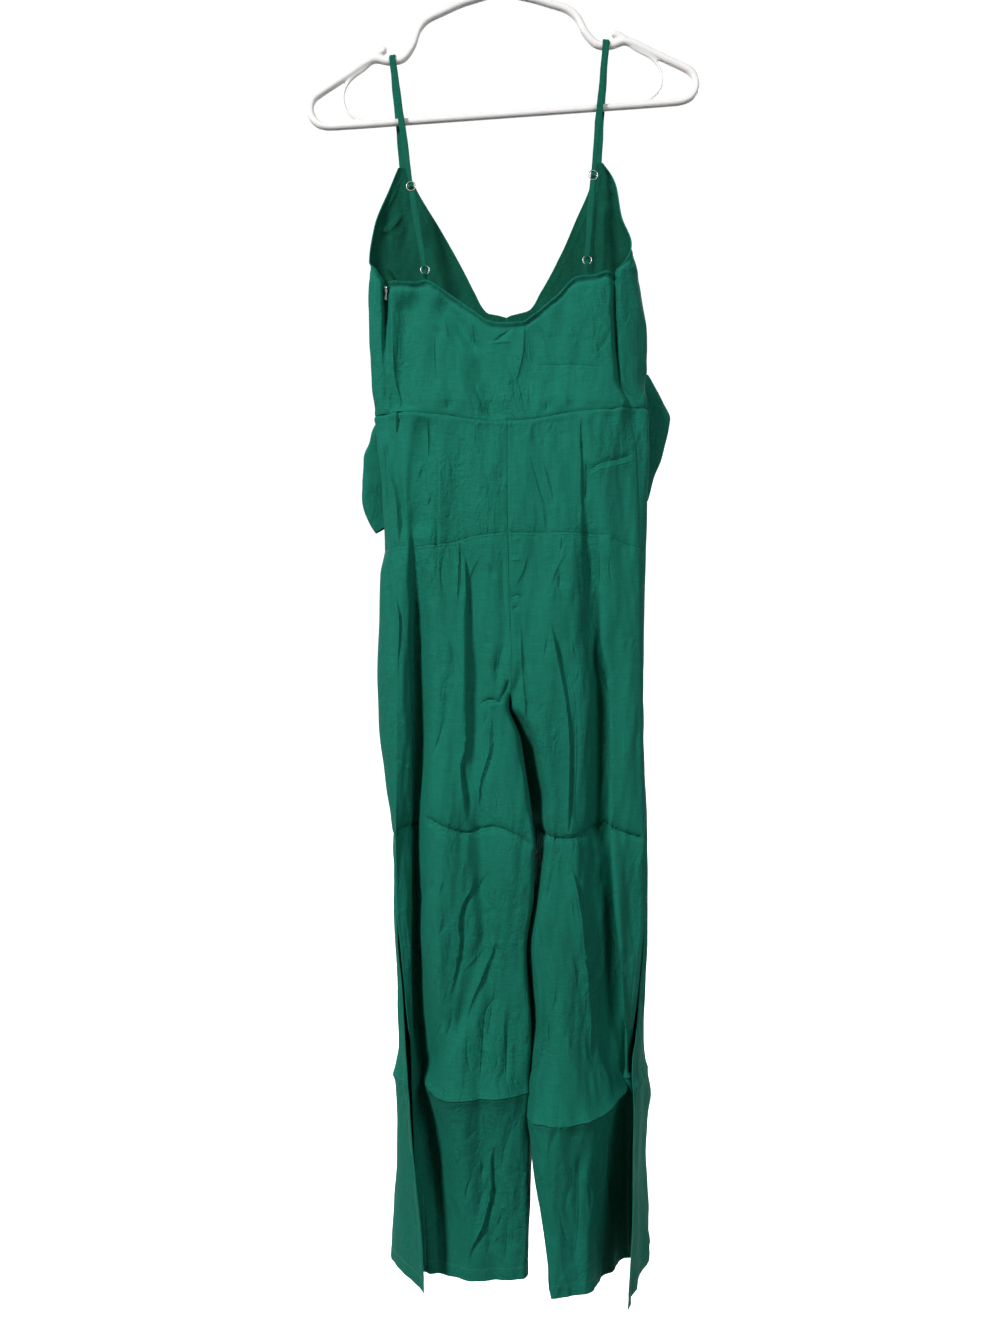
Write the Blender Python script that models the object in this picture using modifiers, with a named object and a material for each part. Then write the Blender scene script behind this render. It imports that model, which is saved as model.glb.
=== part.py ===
"""A sleeveless wide-leg jumpsuit with a tied bow, hung by its straps on a moulded hanger.

Frame: metres, +Z up, +X towards the wearer's right, -Y the way the garment's back faces.
The origin is the inner top of the hanger's hook, where a rail carries it.
Left and right are as seen from behind, so they are also the wearer's left and right.
Each panel is a thin wall lofted through sections; a section's stations are read from the
tables below, which follow the seams, folds and edges down the garment.
"""

import math
from collections import namedtuple

import bmesh
import bpy
from mathutils import Vector

CLOTH = 0.0012
SEAM_GAP = 0.0003
LEFT = -1.0
RIGHT = 1.0

STRAP_WIDTH = 0.0062
STRAP_GATHERED = 0.0045
STRAP_THICKNESS = 0.0008
RING_RADIUS = 0.0046
RING_WIRE = 0.0006
RING_DIP = 0.0024
SLIDER_RADIUS = 0.0048

HANGER_TILT = math.radians(4.1)
HANGER_TUBE = 0.0045
HANGER_RIB = 0.0019
HOOK_RADIUS = 0.0265

COLLECTION = "jumpsuit_on_hanger"

Finish = namedtuple("Finish", "name colour roughness metallic")
CLOTH_FINISH = Finish("green_viscose", (0.013, 0.155, 0.107), 0.62, 0.0)
METAL_FINISH = Finish("silver_metal", (0.72, 0.72, 0.70), 0.25, 1.0)
PULL_FINISH = Finish("pale_enamel", (0.62, 0.68, 0.64), 0.40, 0.0)
PLASTIC_FINISH = Finish("white_plastic", (0.80, 0.79, 0.77), 0.35, 0.0)


class Table:
    """Rows of named sizes down the garment, read smoothly at any height between them."""

    def __init__(self, columns, *rows):
        self.row = namedtuple("Row", columns)
        self.rows = [self.row(*values) for values in rows]

    def at(self, key):
        """Return a row eased between its neighbours, without overshooting either."""
        keys = [row[0] for row in self.rows]
        falling = keys[0] > keys[-1]
        rows = self.rows[::-1] if falling else self.rows
        keys = sorted(keys)
        key = min(max(key, keys[0]), keys[-1])
        index = max(i for i in range(len(keys) - 1) if keys[i] <= key)
        span = keys[index + 1] - keys[index]
        u = (key - keys[index]) / span
        values = [key]
        for column in range(1, len(self.row._fields)):
            steps = [
                (rows[i + 1][column] - rows[i][column]) / (keys[i + 1] - keys[i])
                for i in range(len(keys) - 1)
            ]
            before = steps[index - 1] if index > 0 else steps[index]
            after = steps[index + 1] if index + 2 < len(keys) else steps[index]
            slope_in = gentle_slope(before, steps[index])
            slope_out = gentle_slope(steps[index], after)
            low = rows[index][column]
            high = rows[index + 1][column]
            values.append(
                low * (2 * u**3 - 3 * u**2 + 1)
                + high * (3 * u**2 - 2 * u**3)
                + span * slope_in * (u**3 - 2 * u**2 + u)
                + span * slope_out * (u**3 - u**2)
            )
        return self.row(*values)


def gentle_slope(first, second):
    """The harmonic mean of two slopes, or level where they turn back."""
    if first * second <= 0:
        return 0.0
    return 2 * first * second / (first + second)


# The waist seam and the back neckline, as heights across the garment
WAIST = Table(
    "x z",
    (-0.1260, -0.5464), (-0.1087, -0.5461), (-0.0600, -0.5490), (0.0050, -0.5565),
    (0.0300, -0.5560), (0.0950, -0.5460), (0.1300, -0.5430), (0.1514, -0.5389), (0.1710, -0.5384),
)
WAIST_LEVEL = -0.546
WAIST_GAP = 0.0007
FRONT_WAIST = Table("x z", (-0.1260, -0.5466), (0.1710, -0.5384))
NECKLINE = Table(
    "x z",
    (-0.1140, -0.4056), (-0.0790, -0.4063), (-0.0698, -0.4035), (-0.0600, -0.4085),
    (-0.0375, -0.4235), (-0.0127, -0.4412), (-0.0020, -0.4480), (0.0163, -0.4506),
    (0.0367, -0.4488), (0.0440, -0.4440), (0.0732, -0.4201), (0.0930, -0.4005),
    (0.1045, -0.3985), (0.1200, -0.3975), (0.1360, -0.3930),
)

BACK_BODICE = Table(
    "z left_x left_y left_lip_x left_lip_y flat_y right_lip_x right_lip_y right_x right_y",
    (-0.393, -0.1134, 0.0002, -0.1060, -0.0125, -0.0145, 0.1280, -0.0120, 0.1356, 0.0000),
    (-0.4056, -0.1134, 0.0002, -0.1055, -0.0130, -0.0158, 0.1284, -0.0128, 0.1358, 0.0008),
    (-0.460, -0.1137, 0.0050, -0.1055, -0.0160, -0.0190, 0.1290, -0.0160, 0.1372, 0.0050),
    (-0.510, -0.1122, 0.0020, -0.1035, -0.0200, -0.0220, 0.1310, -0.0200, 0.1400, 0.0020),
    (-0.534, -0.1087, -0.0120, -0.0998, -0.0235, -0.0260, 0.1420, -0.0210, 0.1514, -0.0100),
)

FRONT_COLUMNS = (
    "z edge_x edge_y ridge_x ridge_y round_x round_y shoulder_x shoulder_y inner_x inner_y"
)
FRONT_BODICE = {
    LEFT: Table(
        FRONT_COLUMNS,
        (-0.2731, -0.1000, 0.0060, -0.0990, 0.0064, -0.0975, 0.0070, -0.0950, 0.0078, -0.0915, 0.0082),
        (-0.2950, -0.1085, 0.0045, -0.1062, 0.0066, -0.1020, 0.0085, -0.0960, 0.0098, -0.0815, 0.0105),
        (-0.3401, -0.1255, 0.0010, -0.1230, 0.0060, -0.1180, 0.0100, -0.1060, 0.0125, -0.0540, 0.0140),
        (-0.3786, -0.1308, -0.0010, -0.1295, 0.0045, -0.1240, 0.0105, -0.1120, 0.0150, -0.0320, 0.0165),
        (-0.3900, -0.1235, -0.0085, -0.1305, -0.0030, -0.1300, 0.0045, -0.1170, 0.0152, -0.0260, 0.0170),
        (-0.4056, -0.1134, 0.0002, -0.1192, -0.0110, -0.1322, 0.0000, -0.1200, 0.0155, -0.0180, 0.0180),
        (-0.4286, -0.1135, 0.0040, -0.1186, -0.0120, -0.1325, 0.0000, -0.1205, 0.0165, -0.0035, 0.0190),
        (-0.4335, -0.1135, 0.0042, -0.1178, -0.0120, -0.1325, 0.0000, -0.1206, 0.0168, 0.0181, 0.0200),
        (-0.4600, -0.1137, 0.0050, -0.1178, -0.0120, -0.1318, 0.0000, -0.1198, 0.0180, 0.0181, 0.0215),
        (-0.5100, -0.1122, 0.0020, -0.1176, -0.0120, -0.1285, 0.0000, -0.1165, 0.0205, 0.0181, 0.0235),
        (-0.5340, -0.1087, -0.0120, -0.1175, -0.0095, -0.1259, 0.0000, -0.1119, 0.0240, 0.0183, 0.0260),
    ),
    RIGHT: Table(
        FRONT_COLUMNS,
        (-0.2676, 0.1228, 0.0060, 0.1218, 0.0064, 0.1203, 0.0070, 0.1180, 0.0078, 0.1146, 0.0082),
        (-0.2850, 0.1340, 0.0048, 0.1322, 0.0066, 0.1290, 0.0085, 0.1240, 0.0098, 0.1122, 0.0100),
        (-0.2950, 0.1375, 0.0040, 0.1356, 0.0066, 0.1320, 0.0090, 0.1250, 0.0105, 0.1095, 0.0108),
        (-0.3280, 0.1430, 0.0020, 0.1405, 0.0068, 0.1355, 0.0105, 0.1250, 0.0125, 0.0950, 0.0130),
        (-0.3580, 0.1535, 0.0000, 0.1522, 0.0055, 0.1470, 0.0110, 0.1350, 0.0150, 0.0820, 0.0150),
        (-0.3700, 0.1517, -0.0060, 0.1560, -0.0015, 0.1555, 0.0060, 0.1430, 0.0155, 0.0760, 0.0155),
        (-0.3810, 0.1463, -0.0090, 0.1530, -0.0070, 0.1595, 0.0000, 0.1480, 0.0157, 0.0705, 0.0160),
        (-0.3930, 0.1356, 0.0000, 0.1440, -0.0110, 0.1625, 0.0000, 0.1510, 0.0160, 0.0640, 0.0165),
        (-0.4056, 0.1358, 0.0008, 0.1420, -0.0110, 0.1650, 0.0000, 0.1535, 0.0165, 0.0565, 0.0175),
        (-0.4253, 0.1364, 0.0026, 0.1415, -0.0110, 0.1678, 0.0000, 0.1560, 0.0170, 0.0441, 0.0188),
        (-0.4335, 0.1365, 0.0030, 0.1415, -0.0110, 0.1690, 0.0000, 0.1575, 0.0175, 0.0184, 0.0200),
        (-0.4600, 0.1372, 0.0050, 0.1415, -0.0110, 0.1717, 0.0000, 0.1600, 0.0185, 0.0184, 0.0215),
        (-0.4900, 0.1386, 0.0040, 0.1430, -0.0110, 0.1720, 0.0000, 0.1600, 0.0195, 0.0184, 0.0228),
        (-0.5100, 0.1400, 0.0020, 0.1450, -0.0108, 0.1700, 0.0000, 0.1585, 0.0205, 0.0184, 0.0235),
        (-0.5340, 0.1514, -0.0100, 0.1600, -0.0080, 0.1711, 0.0000, 0.1571, 0.0240, 0.0187, 0.0260),
    ),
}
# Heights of the bodice's rows: up the side seam to the underarm, then up the triangle
SEAM_HEIGHTS = {
    LEFT: (-0.546, -0.520, -0.495, -0.465, -0.4335, -0.4286, -0.4170, -0.4056),
    RIGHT: (-0.546, -0.520, -0.495, -0.465, -0.4335, -0.4253, -0.4100, -0.3930),
}
APEX_HEIGHTS = {
    LEFT: (-0.397, -0.390, -0.3786, -0.360, -0.340, -0.318, -0.295, -0.2731),
    RIGHT: (-0.387, -0.381, -0.370, -0.358, -0.343, -0.328, -0.310, -0.295, -0.285, -0.2676),
}
UNDERARM = {LEFT: -0.4056, RIGHT: -0.3930}
WAIST_BLEND = -0.4800

# Trouser legs, from the waist to the hem. "inner" is the centre seam above the crotch
# and the inseam below it; "fold" the deep back fold and its outer lip; "side" the side
# seam, then the back panel's edge at the open slit; "flap" the front panel's slit edge;
# "outline" the outermost line; "flat" how far the panels stand apart. "shoulder" is how
# far from the inner seam a panel has turned flat.
CROTCH = -0.862
CLOSED_ABOVE = -0.790
SLIT_TOP = -1.080
SLIT_OPEN = -1.120
LEG = {
    LEFT: {
        "inner": Table(
            "z x back_y front_y shoulder",
            (-0.546, 0.0183, -0.026, 0.026, 0.014), (-0.620, 0.0183, -0.029, 0.029, 0.014),
            (-0.705, 0.0198, -0.031, 0.031, 0.014), (-0.790, 0.0223, -0.031, 0.031, 0.014),
            (-0.825, 0.0230, -0.028, 0.027, 0.014), (-0.848, 0.0208, -0.016, 0.016, 0.014),
            (-0.862, 0.0193, 0.000, 0.000, 0.014), (-0.890, 0.0290, 0.000, 0.000, 0.014),
            (-0.920, 0.0343, 0.000, 0.000, 0.014), (-0.970, 0.0428, 0.000, 0.000, 0.014),
            (-1.020, 0.0485, 0.000, 0.000, 0.014), (-1.067, 0.0456, 0.000, 0.000, 0.014),
            (-1.122, 0.0390, -0.001, -0.001, 0.014), (-1.200, 0.0434, -0.002, -0.002, 0.014),
            (-1.280, 0.0405, -0.004, -0.004, 0.014), (-1.330, 0.0436, -0.005, -0.005, 0.014),
            (-1.361, 0.0443, -0.006, -0.006, 0.014), (-1.420, 0.0412, -0.008, -0.008, 0.014),
            (-1.472, 0.0401, -0.010, -0.010, 0.014),
        ),
        "flat": Table(
            "z back_in back_out front_in front_out",
            (-0.546, -0.026, -0.026, 0.026, 0.024), (-0.620, -0.029, -0.029, 0.029, 0.027),
            (-0.705, -0.031, -0.031, 0.031, 0.029), (-0.862, -0.032, -0.032, 0.031, 0.030),
            (-1.080, -0.033, -0.033, 0.030, 0.030), (-1.280, -0.032, -0.034, 0.026, 0.034),
            (-1.472, -0.028, -0.031, 0.022, 0.042),
        ),
        "fold": Table(
            "z x y lip_x lip_y",
            (-0.546, -0.0800, -0.0260, -0.0920, -0.0250), (-0.620, -0.0820, -0.0265, -0.0905, -0.0275),
            (-0.705, -0.0800, -0.0190, -0.0885, -0.0295), (-0.790, -0.0790, -0.0100, -0.0865, -0.0300),
            (-0.862, -0.0783, -0.0050, -0.0855, -0.0300), (-1.020, -0.0775, -0.0030, -0.0850, -0.0290),
            (-1.100, -0.0800, -0.0020, -0.0870, -0.0260), (-1.160, -0.0825, 0.0000, -0.0875, -0.0200),
            (-1.210, -0.0815, 0.0030, -0.0848, -0.0080), (-1.280, -0.0770, 0.0020, -0.0805, -0.0010),
            (-1.365, -0.0700, -0.0060, -0.0745, -0.0060), (-1.472, -0.0600, -0.0200, -0.0668, -0.0170),
        ),
        "side": Table(
            "z x y",
            (-0.546, -0.1087, -0.0120), (-0.705, -0.1077, -0.0140), (-0.790, -0.0990, -0.0200),
            (-0.862, -0.0995, -0.0190), (-0.920, -0.1008, -0.0160), (-1.020, -0.1014, -0.0090),
            (-1.080, -0.1009, -0.0040), (-1.120, -0.0975, -0.0080), (-1.170, -0.0920, -0.0120),
            (-1.205, -0.0885, -0.0110), (-1.230, -0.0860, -0.0060), (-1.280, -0.0850, -0.0030),
            (-1.365, -0.0815, -0.0040), (-1.472, -0.0750, -0.0100),
        ),
        "flap": Table(
            "z x y",
            (-1.080, -0.1009, -0.0040), (-1.120, -0.0996, -0.0030), (-1.170, -0.0948, -0.0040),
            (-1.205, -0.0925, -0.0130), (-1.230, -0.0902, -0.0230), (-1.262, -0.0868, -0.0310),
            (-1.310, -0.0833, -0.0360), (-1.355, -0.0788, -0.0400), (-1.420, -0.0712, -0.0470),
            (-1.472, -0.0678, -0.0536),
        ),
        "outline": Table(
            "z x y",
            (-0.546, -0.1259, 0.0000), (-0.616, -0.1210, 0.0000), (-0.692, -0.1160, 0.0000),
            (-0.720, -0.1197, 0.0000), (-0.874, -0.1199, 0.0000), (-0.945, -0.1128, 0.0000),
            (-1.005, -0.1072, 0.0000), (-1.055, -0.1048, 0.0010), (-1.100, -0.1032, 0.0030),
            (-1.170, -0.0996, 0.0050), (-1.230, -0.0994, 0.0050), (-1.262, -0.1042, 0.0060),
            (-1.360, -0.1046, 0.0100), (-1.420, -0.1075, 0.0150), (-1.472, -0.1104, 0.0195),
        ),
    },
    RIGHT: {
        "inner": Table(
            "z x back_y front_y shoulder",
            (-0.546, 0.0187, -0.026, 0.026, 0.014), (-0.620, 0.0187, -0.029, 0.029, 0.014),
            (-0.705, 0.0202, -0.031, 0.031, 0.014), (-0.790, 0.0227, -0.031, 0.031, 0.014),
            (-0.825, 0.0238, -0.028, 0.027, 0.014), (-0.848, 0.0224, -0.016, 0.016, 0.014),
            (-0.862, 0.0214, 0.000, 0.000, 0.014), (-0.890, 0.0292, 0.012, 0.012, 0.0164),
            (-0.925, 0.0349, 0.019, 0.019, 0.0160), (-0.970, 0.0425, 0.022, 0.022, 0.0150),
            (-1.020, 0.0482, 0.022, 0.022, 0.0145), (-1.067, 0.0454, 0.022, 0.022, 0.0140),
            (-1.122, 0.0390, 0.018, 0.018, 0.0158), (-1.160, 0.0422, 0.010, 0.010, 0.0138),
            (-1.200, 0.0447, 0.000, 0.000, 0.013), (-1.240, 0.0424, -0.014, -0.014, 0.013),
            (-1.280, 0.0398, -0.026, -0.026, 0.014), (-1.330, 0.0448, -0.035, -0.035, 0.014),
            (-1.361, 0.0487, -0.040, -0.040, 0.014), (-1.411, 0.0568, -0.048, -0.048, 0.014),
            (-1.448, 0.0620, -0.0535, -0.0535, 0.014), (-1.475, 0.0649, -0.0575, -0.0575, 0.014),
        ),
        "flat": Table(
            "z back_in back_out front_in front_out",
            (-0.546, -0.026, -0.026, 0.026, 0.024), (-0.620, -0.029, -0.029, 0.029, 0.027),
            (-0.705, -0.031, -0.031, 0.031, 0.029), (-0.862, -0.032, -0.031, 0.031, 0.030),
            (-1.080, -0.036, -0.029, 0.028, 0.034), (-1.200, -0.042, -0.020, 0.020, 0.042),
            (-1.350, -0.050, -0.006, -0.002, 0.056), (-1.475, -0.056, 0.002, -0.025, 0.068),
        ),
        "fold": Table(
            "z x y lip_x lip_y",
            (-0.546, 0.1085, -0.0260, 0.1200, -0.0255), (-0.620, 0.1095, -0.0275, 0.1180, -0.0290),
            (-0.705, 0.1105, -0.0215, 0.1155, -0.0305), (-0.790, 0.1140, -0.0120, 0.1195, -0.0310),
            (-0.830, 0.1190, -0.0080, 0.1250, -0.0310), (-0.862, 0.1215, -0.0060, 0.1268, -0.0310),
            (-0.990, 0.1225, -0.0060, 0.1272, -0.0310), (-1.046, 0.1280, -0.0040, 0.1326, -0.0305),
            (-1.110, 0.1335, -0.0010, 0.1380, -0.0300), (-1.170, 0.1380, 0.0020, 0.1427, -0.0290),
            (-1.195, 0.1405, 0.0040, 0.1452, -0.0240), (-1.220, 0.1435, 0.0050, 0.1475, -0.0150),
            (-1.280, 0.1465, 0.0080, 0.1498, 0.0020), (-1.365, 0.1490, 0.0140, 0.1525, 0.0130),
            (-1.475, 0.1490, 0.0190, 0.1535, 0.0220),
        ),
        "side": Table(
            "z x y",
            (-0.546, 0.1514, -0.0100), (-0.590, 0.1590, -0.0100), (-0.705, 0.1622, -0.0090),
            (-0.850, 0.1632, -0.0090), (-1.000, 0.1660, -0.0070), (-1.080, 0.1676, -0.0030),
            (-1.115, 0.1648, -0.0110), (-1.170, 0.1592, -0.0140), (-1.205, 0.1553, -0.0100),
            (-1.230, 0.1535, -0.0030), (-1.280, 0.1530, 0.0060), (-1.365, 0.1560, 0.0160),
            (-1.475, 0.1580, 0.0270),
        ),
        "flap": Table(
            "z x y",
            (-1.080, 0.1676, -0.0030), (-1.115, 0.1668, -0.0030), (-1.170, 0.1624, -0.0040),
            (-1.205, 0.1592, -0.0090), (-1.220, 0.1565, -0.0190), (-1.235, 0.1522, -0.0300),
            (-1.255, 0.1506, -0.0370), (-1.280, 0.1516, -0.0440), (-1.330, 0.1500, -0.0510),
            (-1.390, 0.1483, -0.0620), (-1.430, 0.1450, -0.0700), (-1.475, 0.1407, -0.0785),
        ),
        "outline": Table(
            "z x y",
            (-0.546, 0.1711, 0.0000), (-0.660, 0.1700, 0.0000), (-0.740, 0.1686, 0.0000),
            (-0.840, 0.1676, 0.0000), (-0.920, 0.1686, 0.0000), (-1.000, 0.1702, 0.0000),
            (-1.090, 0.1700, 0.0030), (-1.170, 0.1710, 0.0100), (-1.255, 0.1725, 0.0200),
            (-1.295, 0.1778, 0.0270), (-1.315, 0.1750, 0.0300), (-1.360, 0.1725, 0.0360),
            (-1.430, 0.1790, 0.0480), (-1.475, 0.1821, 0.0550),
        ),
    },
}
LEG_HEIGHTS = (
    -0.546, -0.580, -0.620, -0.665, -0.705, -0.748, -0.790, -0.825, -0.848, -0.862,
    -0.890, -0.925, -0.970, -1.020, -1.055, -1.080, -1.120, -1.160, -1.195, -1.222,
    -1.250, -1.285, -1.330, -1.380, -1.430, -1.475,
)
LEG_HEM = {LEFT: -1.472, RIGHT: -1.475}
BACK_STEPS = (3, 2, 2, 4, 3, 2, 2)
FRONT_STEPS = (4, 3, 3, 2, 3)
OUTER_SHOULDER = 0.014
FOLD_WIDTH = 0.022

# Straps: where each one starts, crosses the hanger, and reaches its slider and ring
Strap = namedtuple("Strap", "apex hanger slider ring")
STRAPS = {
    LEFT: Strap(
        apex=Vector((-0.0957, 0.0080, -0.2726)),
        hanger=Vector((-0.1060, 0.0, -0.1593)),
        slider=Vector((-0.0852, -0.0120, -0.3005)),
        ring=Vector((-0.0698, -0.0165, -0.3926)),
    ),
    RIGHT: Strap(
        apex=Vector((0.1187, 0.0080, -0.2671)),
        hanger=Vector((0.1262, 0.0, -0.1425)),
        slider=Vector((0.1113, -0.0120, -0.2886)),
        ring=Vector((0.1045, -0.0165, -0.3820)),
    ),
}
SIDE_NAME = {LEFT: "left", RIGHT: "right"}

# The bow: knot centre, and each loop's tip, its reach and the height of its end
KNOT = Vector((0.0180, 0.0375, -0.5490))
Loop = namedtuple("Loop", "tip_x top_z bottom_z bulge")
LOOPS = {
    LEFT: Loop(tip_x=-0.1290, top_z=-0.5485, bottom_z=-0.6700, bulge=0.0165),
    RIGHT: Loop(tip_x=0.1770, top_z=-0.4920, bottom_z=-0.6330, bulge=0.0250),
}

# The concealed zip's slider, at the top of the left side seam
ZIP_PIN = Vector((-0.1130, -0.00460, -0.4075))
PULL_LENGTH = 0.0140


def trace(stations, steps, before, after):
    """Walk a smooth curve through plan stations; return its points and directions."""
    knots = [before, *stations, after]
    tangents = [(knots[i + 2] - knots[i]).normalized() for i in range(len(stations))]
    points = []
    directions = []
    for index, count in enumerate(steps):
        start = stations[index]
        end = stations[index + 1]
        length = (end - start).length
        leave = tangents[index] * length
        arrive = tangents[index + 1] * length
        for step in range(count):
            u = step / count
            points.append(
                start * (2 * u**3 - 3 * u**2 + 1)
                + leave * (u**3 - 2 * u**2 + u)
                + end * (3 * u**2 - 2 * u**3)
                + arrive * (u**3 - u**2)
            )
            slope = (
                start * (6 * u**2 - 6 * u)
                + leave * (3 * u**2 - 4 * u + 1)
                + end * (6 * u - 6 * u**2)
                + arrive * (3 * u**2 - 2 * u)
            )
            directions.append(slope.normalized())
    points.append(stations[-1].copy())
    directions.append(tangents[-1])
    points[0] = points[0] + directions[0] * SEAM_GAP / 2
    points[-1] = points[-1] - directions[-1] * SEAM_GAP / 2
    return points, directions


def facing(directions, turn):
    """Turn each direction of a section to face out of the garment."""
    return [Vector((turn * d.y, -turn * d.x)) for d in directions]


def blend(low, high, value):
    """How far a height has come from one level to another, from 0 to 1."""
    return min(max((value - low) / (high - low), 0.0), 1.0)


def make_material(finish):
    """Make or find a finish's material."""
    material = bpy.data.materials.get(finish.name)
    if material is None:
        material = bpy.data.materials.new(finish.name)
        material.use_nodes = True
        shader = material.node_tree.nodes["Principled BSDF"]
        shader.inputs["Base Color"].default_value = (*finish.colour, 1.0)
        shader.inputs["Roughness"].default_value = finish.roughness
        shader.inputs["Metallic"].default_value = finish.metallic
    return material


def place(name, mesh, finish):
    """Put a finished mesh in the collection as one named piece."""
    piece = bpy.data.objects.new(name, mesh)
    bpy.data.collections[COLLECTION].objects.link(piece)
    mesh.materials.clear()
    mesh.materials.append(make_material(finish))
    return piece


def make_wall(name, rows, thickness=CLOTH, finish=CLOTH_FINISH):
    """Loft a cloth wall through rows of (outer point, outward direction)."""
    shell = bmesh.new()
    outer = [[shell.verts.new(point) for point, _ in row] for row in rows]
    inner = [
        [shell.verts.new(point - outward * thickness) for point, outward in row] for row in rows
    ]
    last_row = len(rows) - 1
    last_column = len(rows[0]) - 1
    for r in range(last_row):
        for c in range(last_column):
            for skin, reverse in ((outer, False), (inner, True)):
                corners = [skin[r][c], skin[r][c + 1], skin[r + 1][c + 1], skin[r + 1][c]]
                shell.faces.new(corners[::-1] if reverse else corners)
        for c, reverse in ((0, False), (last_column, True)):
            corners = [outer[r][c], outer[r + 1][c], inner[r + 1][c], inner[r][c]]
            shell.faces.new(corners[::-1] if reverse else corners)
    for c in range(last_column):
        for r, reverse in ((0, True), (last_row, False)):
            corners = [outer[r][c], outer[r][c + 1], inner[r][c + 1], inner[r][c]]
            shell.faces.new(corners[::-1] if reverse else corners)
    bmesh.ops.recalc_face_normals(shell, faces=shell.faces)
    mesh = bpy.data.meshes.new(name)
    shell.to_mesh(mesh)
    shell.free()
    return place(name, mesh, finish)


def lift(points, outwards, heights):
    """Raise plan points and directions to their heights."""
    return [
        (Vector((p.x, p.y, z)), Vector((n.x, n.y, 0.0)))
        for p, n, z in zip(points, outwards, heights)
    ]


# Bodice ---------------------------------------------------------------------------------

def back_bodice_section(z):
    """The back bodice from its left side seam to its right one."""
    row = BACK_BODICE.at(z)
    left = FRONT_BODICE[LEFT].at(min(z, UNDERARM[LEFT]))
    right = FRONT_BODICE[RIGHT].at(min(z, UNDERARM[RIGHT]))
    stations = [
        Vector((row.left_x, row.left_y)),
        Vector((row.left_lip_x, row.left_lip_y)),
        Vector((-0.075, row.flat_y)),
        Vector((0.018, row.flat_y)),
        Vector((0.100, row.flat_y)),
        Vector((row.right_lip_x, row.right_lip_y)),
        Vector((row.right_x, row.right_y)),
    ]
    before = Vector((left.ridge_x, left.ridge_y))
    after = Vector((right.ridge_x, right.ridge_y))
    points, directions = trace(stations, (4, 3, 5, 5, 3, 4), before, after)
    return points, facing(directions, RIGHT)


def bodice_height(level, foot_x, waist=WAIST):
    """A row's height above a point of the waist seam, which isn't level itself."""
    fade = blend(WAIST_BLEND, WAIST_LEVEL, level)
    return level + fade * (waist.at(foot_x).z - WAIST_LEVEL + WAIST_GAP / 2)


def build_back_bodice():
    """One panel from the waist seam up to the dipping neckline."""
    base, _ = back_bodice_section(WAIST_LEVEL)
    rows = []
    for left_level, right_level in zip(SEAM_HEIGHTS[LEFT], SEAM_HEIGHTS[RIGHT]):
        row = []
        shares = []
        for foot, level in ((base[0], left_level), (base[-1], right_level)):
            low = bodice_height(WAIST_LEVEL, foot.x)
            shares.append((bodice_height(level, foot.x) - low) / (NECKLINE.at(foot.x).z - low))
        for column, foot in enumerate(base):
            across = blend(base[0].x, base[-1].x, foot.x)
            share = shares[0] + (shares[1] - shares[0]) * across
            low = bodice_height(WAIST_LEVEL, foot.x)
            z = low + (NECKLINE.at(foot.x).z - low) * share
            points, outwards = back_bodice_section(z)
            row += lift([points[column]], [outwards[column]], [z])
        rows.append(row)
    make_wall("back_bodice", rows)


def front_bodice_section(side, z):
    """One front triangle from its side seam or armhole edge to its inner edge."""
    row = FRONT_BODICE[side].at(z)
    back = BACK_BODICE.at(z)
    lip = Vector((back.left_lip_x, back.left_lip_y))
    if side == RIGHT:
        lip = Vector((back.right_lip_x, back.right_lip_y))
    edge = Vector((row.edge_x, row.edge_y))
    ridge = Vector((row.ridge_x, row.ridge_y))
    shoulder = Vector((row.shoulder_x, row.shoulder_y))
    inner = Vector((row.inner_x, row.inner_y))
    middle = (shoulder + inner) / 2
    before = lip.lerp(edge * 2 - ridge, blend(UNDERARM[side], APEX_HEIGHTS[side][1], z))
    stations = [edge, ridge, Vector((row.round_x, row.round_y)), shoulder, middle, inner]
    points, directions = trace(stations, (3, 4, 3, 3, 3), before, inner * 2 - middle)
    return points, facing(directions, side)


def build_front_bodice(side):
    """One triangle from the waist seam up to the strap's apex."""
    base, _ = front_bodice_section(side, WAIST_LEVEL)
    rows = []
    for level in SEAM_HEIGHTS[side] + APEX_HEIGHTS[side]:
        row = []
        for column, foot in enumerate(base):
            z = bodice_height(level, foot.x, FRONT_WAIST)
            points, outwards = front_bodice_section(side, z)
            row += lift([points[column]], [outwards[column]], [z])
        rows.append(row)
    make_wall("front_bodice_" + SIDE_NAME[side], rows)


# Trouser legs -----------------------------------------------------------------------------

def leg_height(level, foot_x, waist):
    """A row's height below a point of the waist seam, level again at the hip."""
    fade = blend(-0.620, WAIST_LEVEL, level)
    return level + fade * (waist.at(foot_x).z - WAIST_LEVEL - WAIST_GAP / 2)


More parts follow.
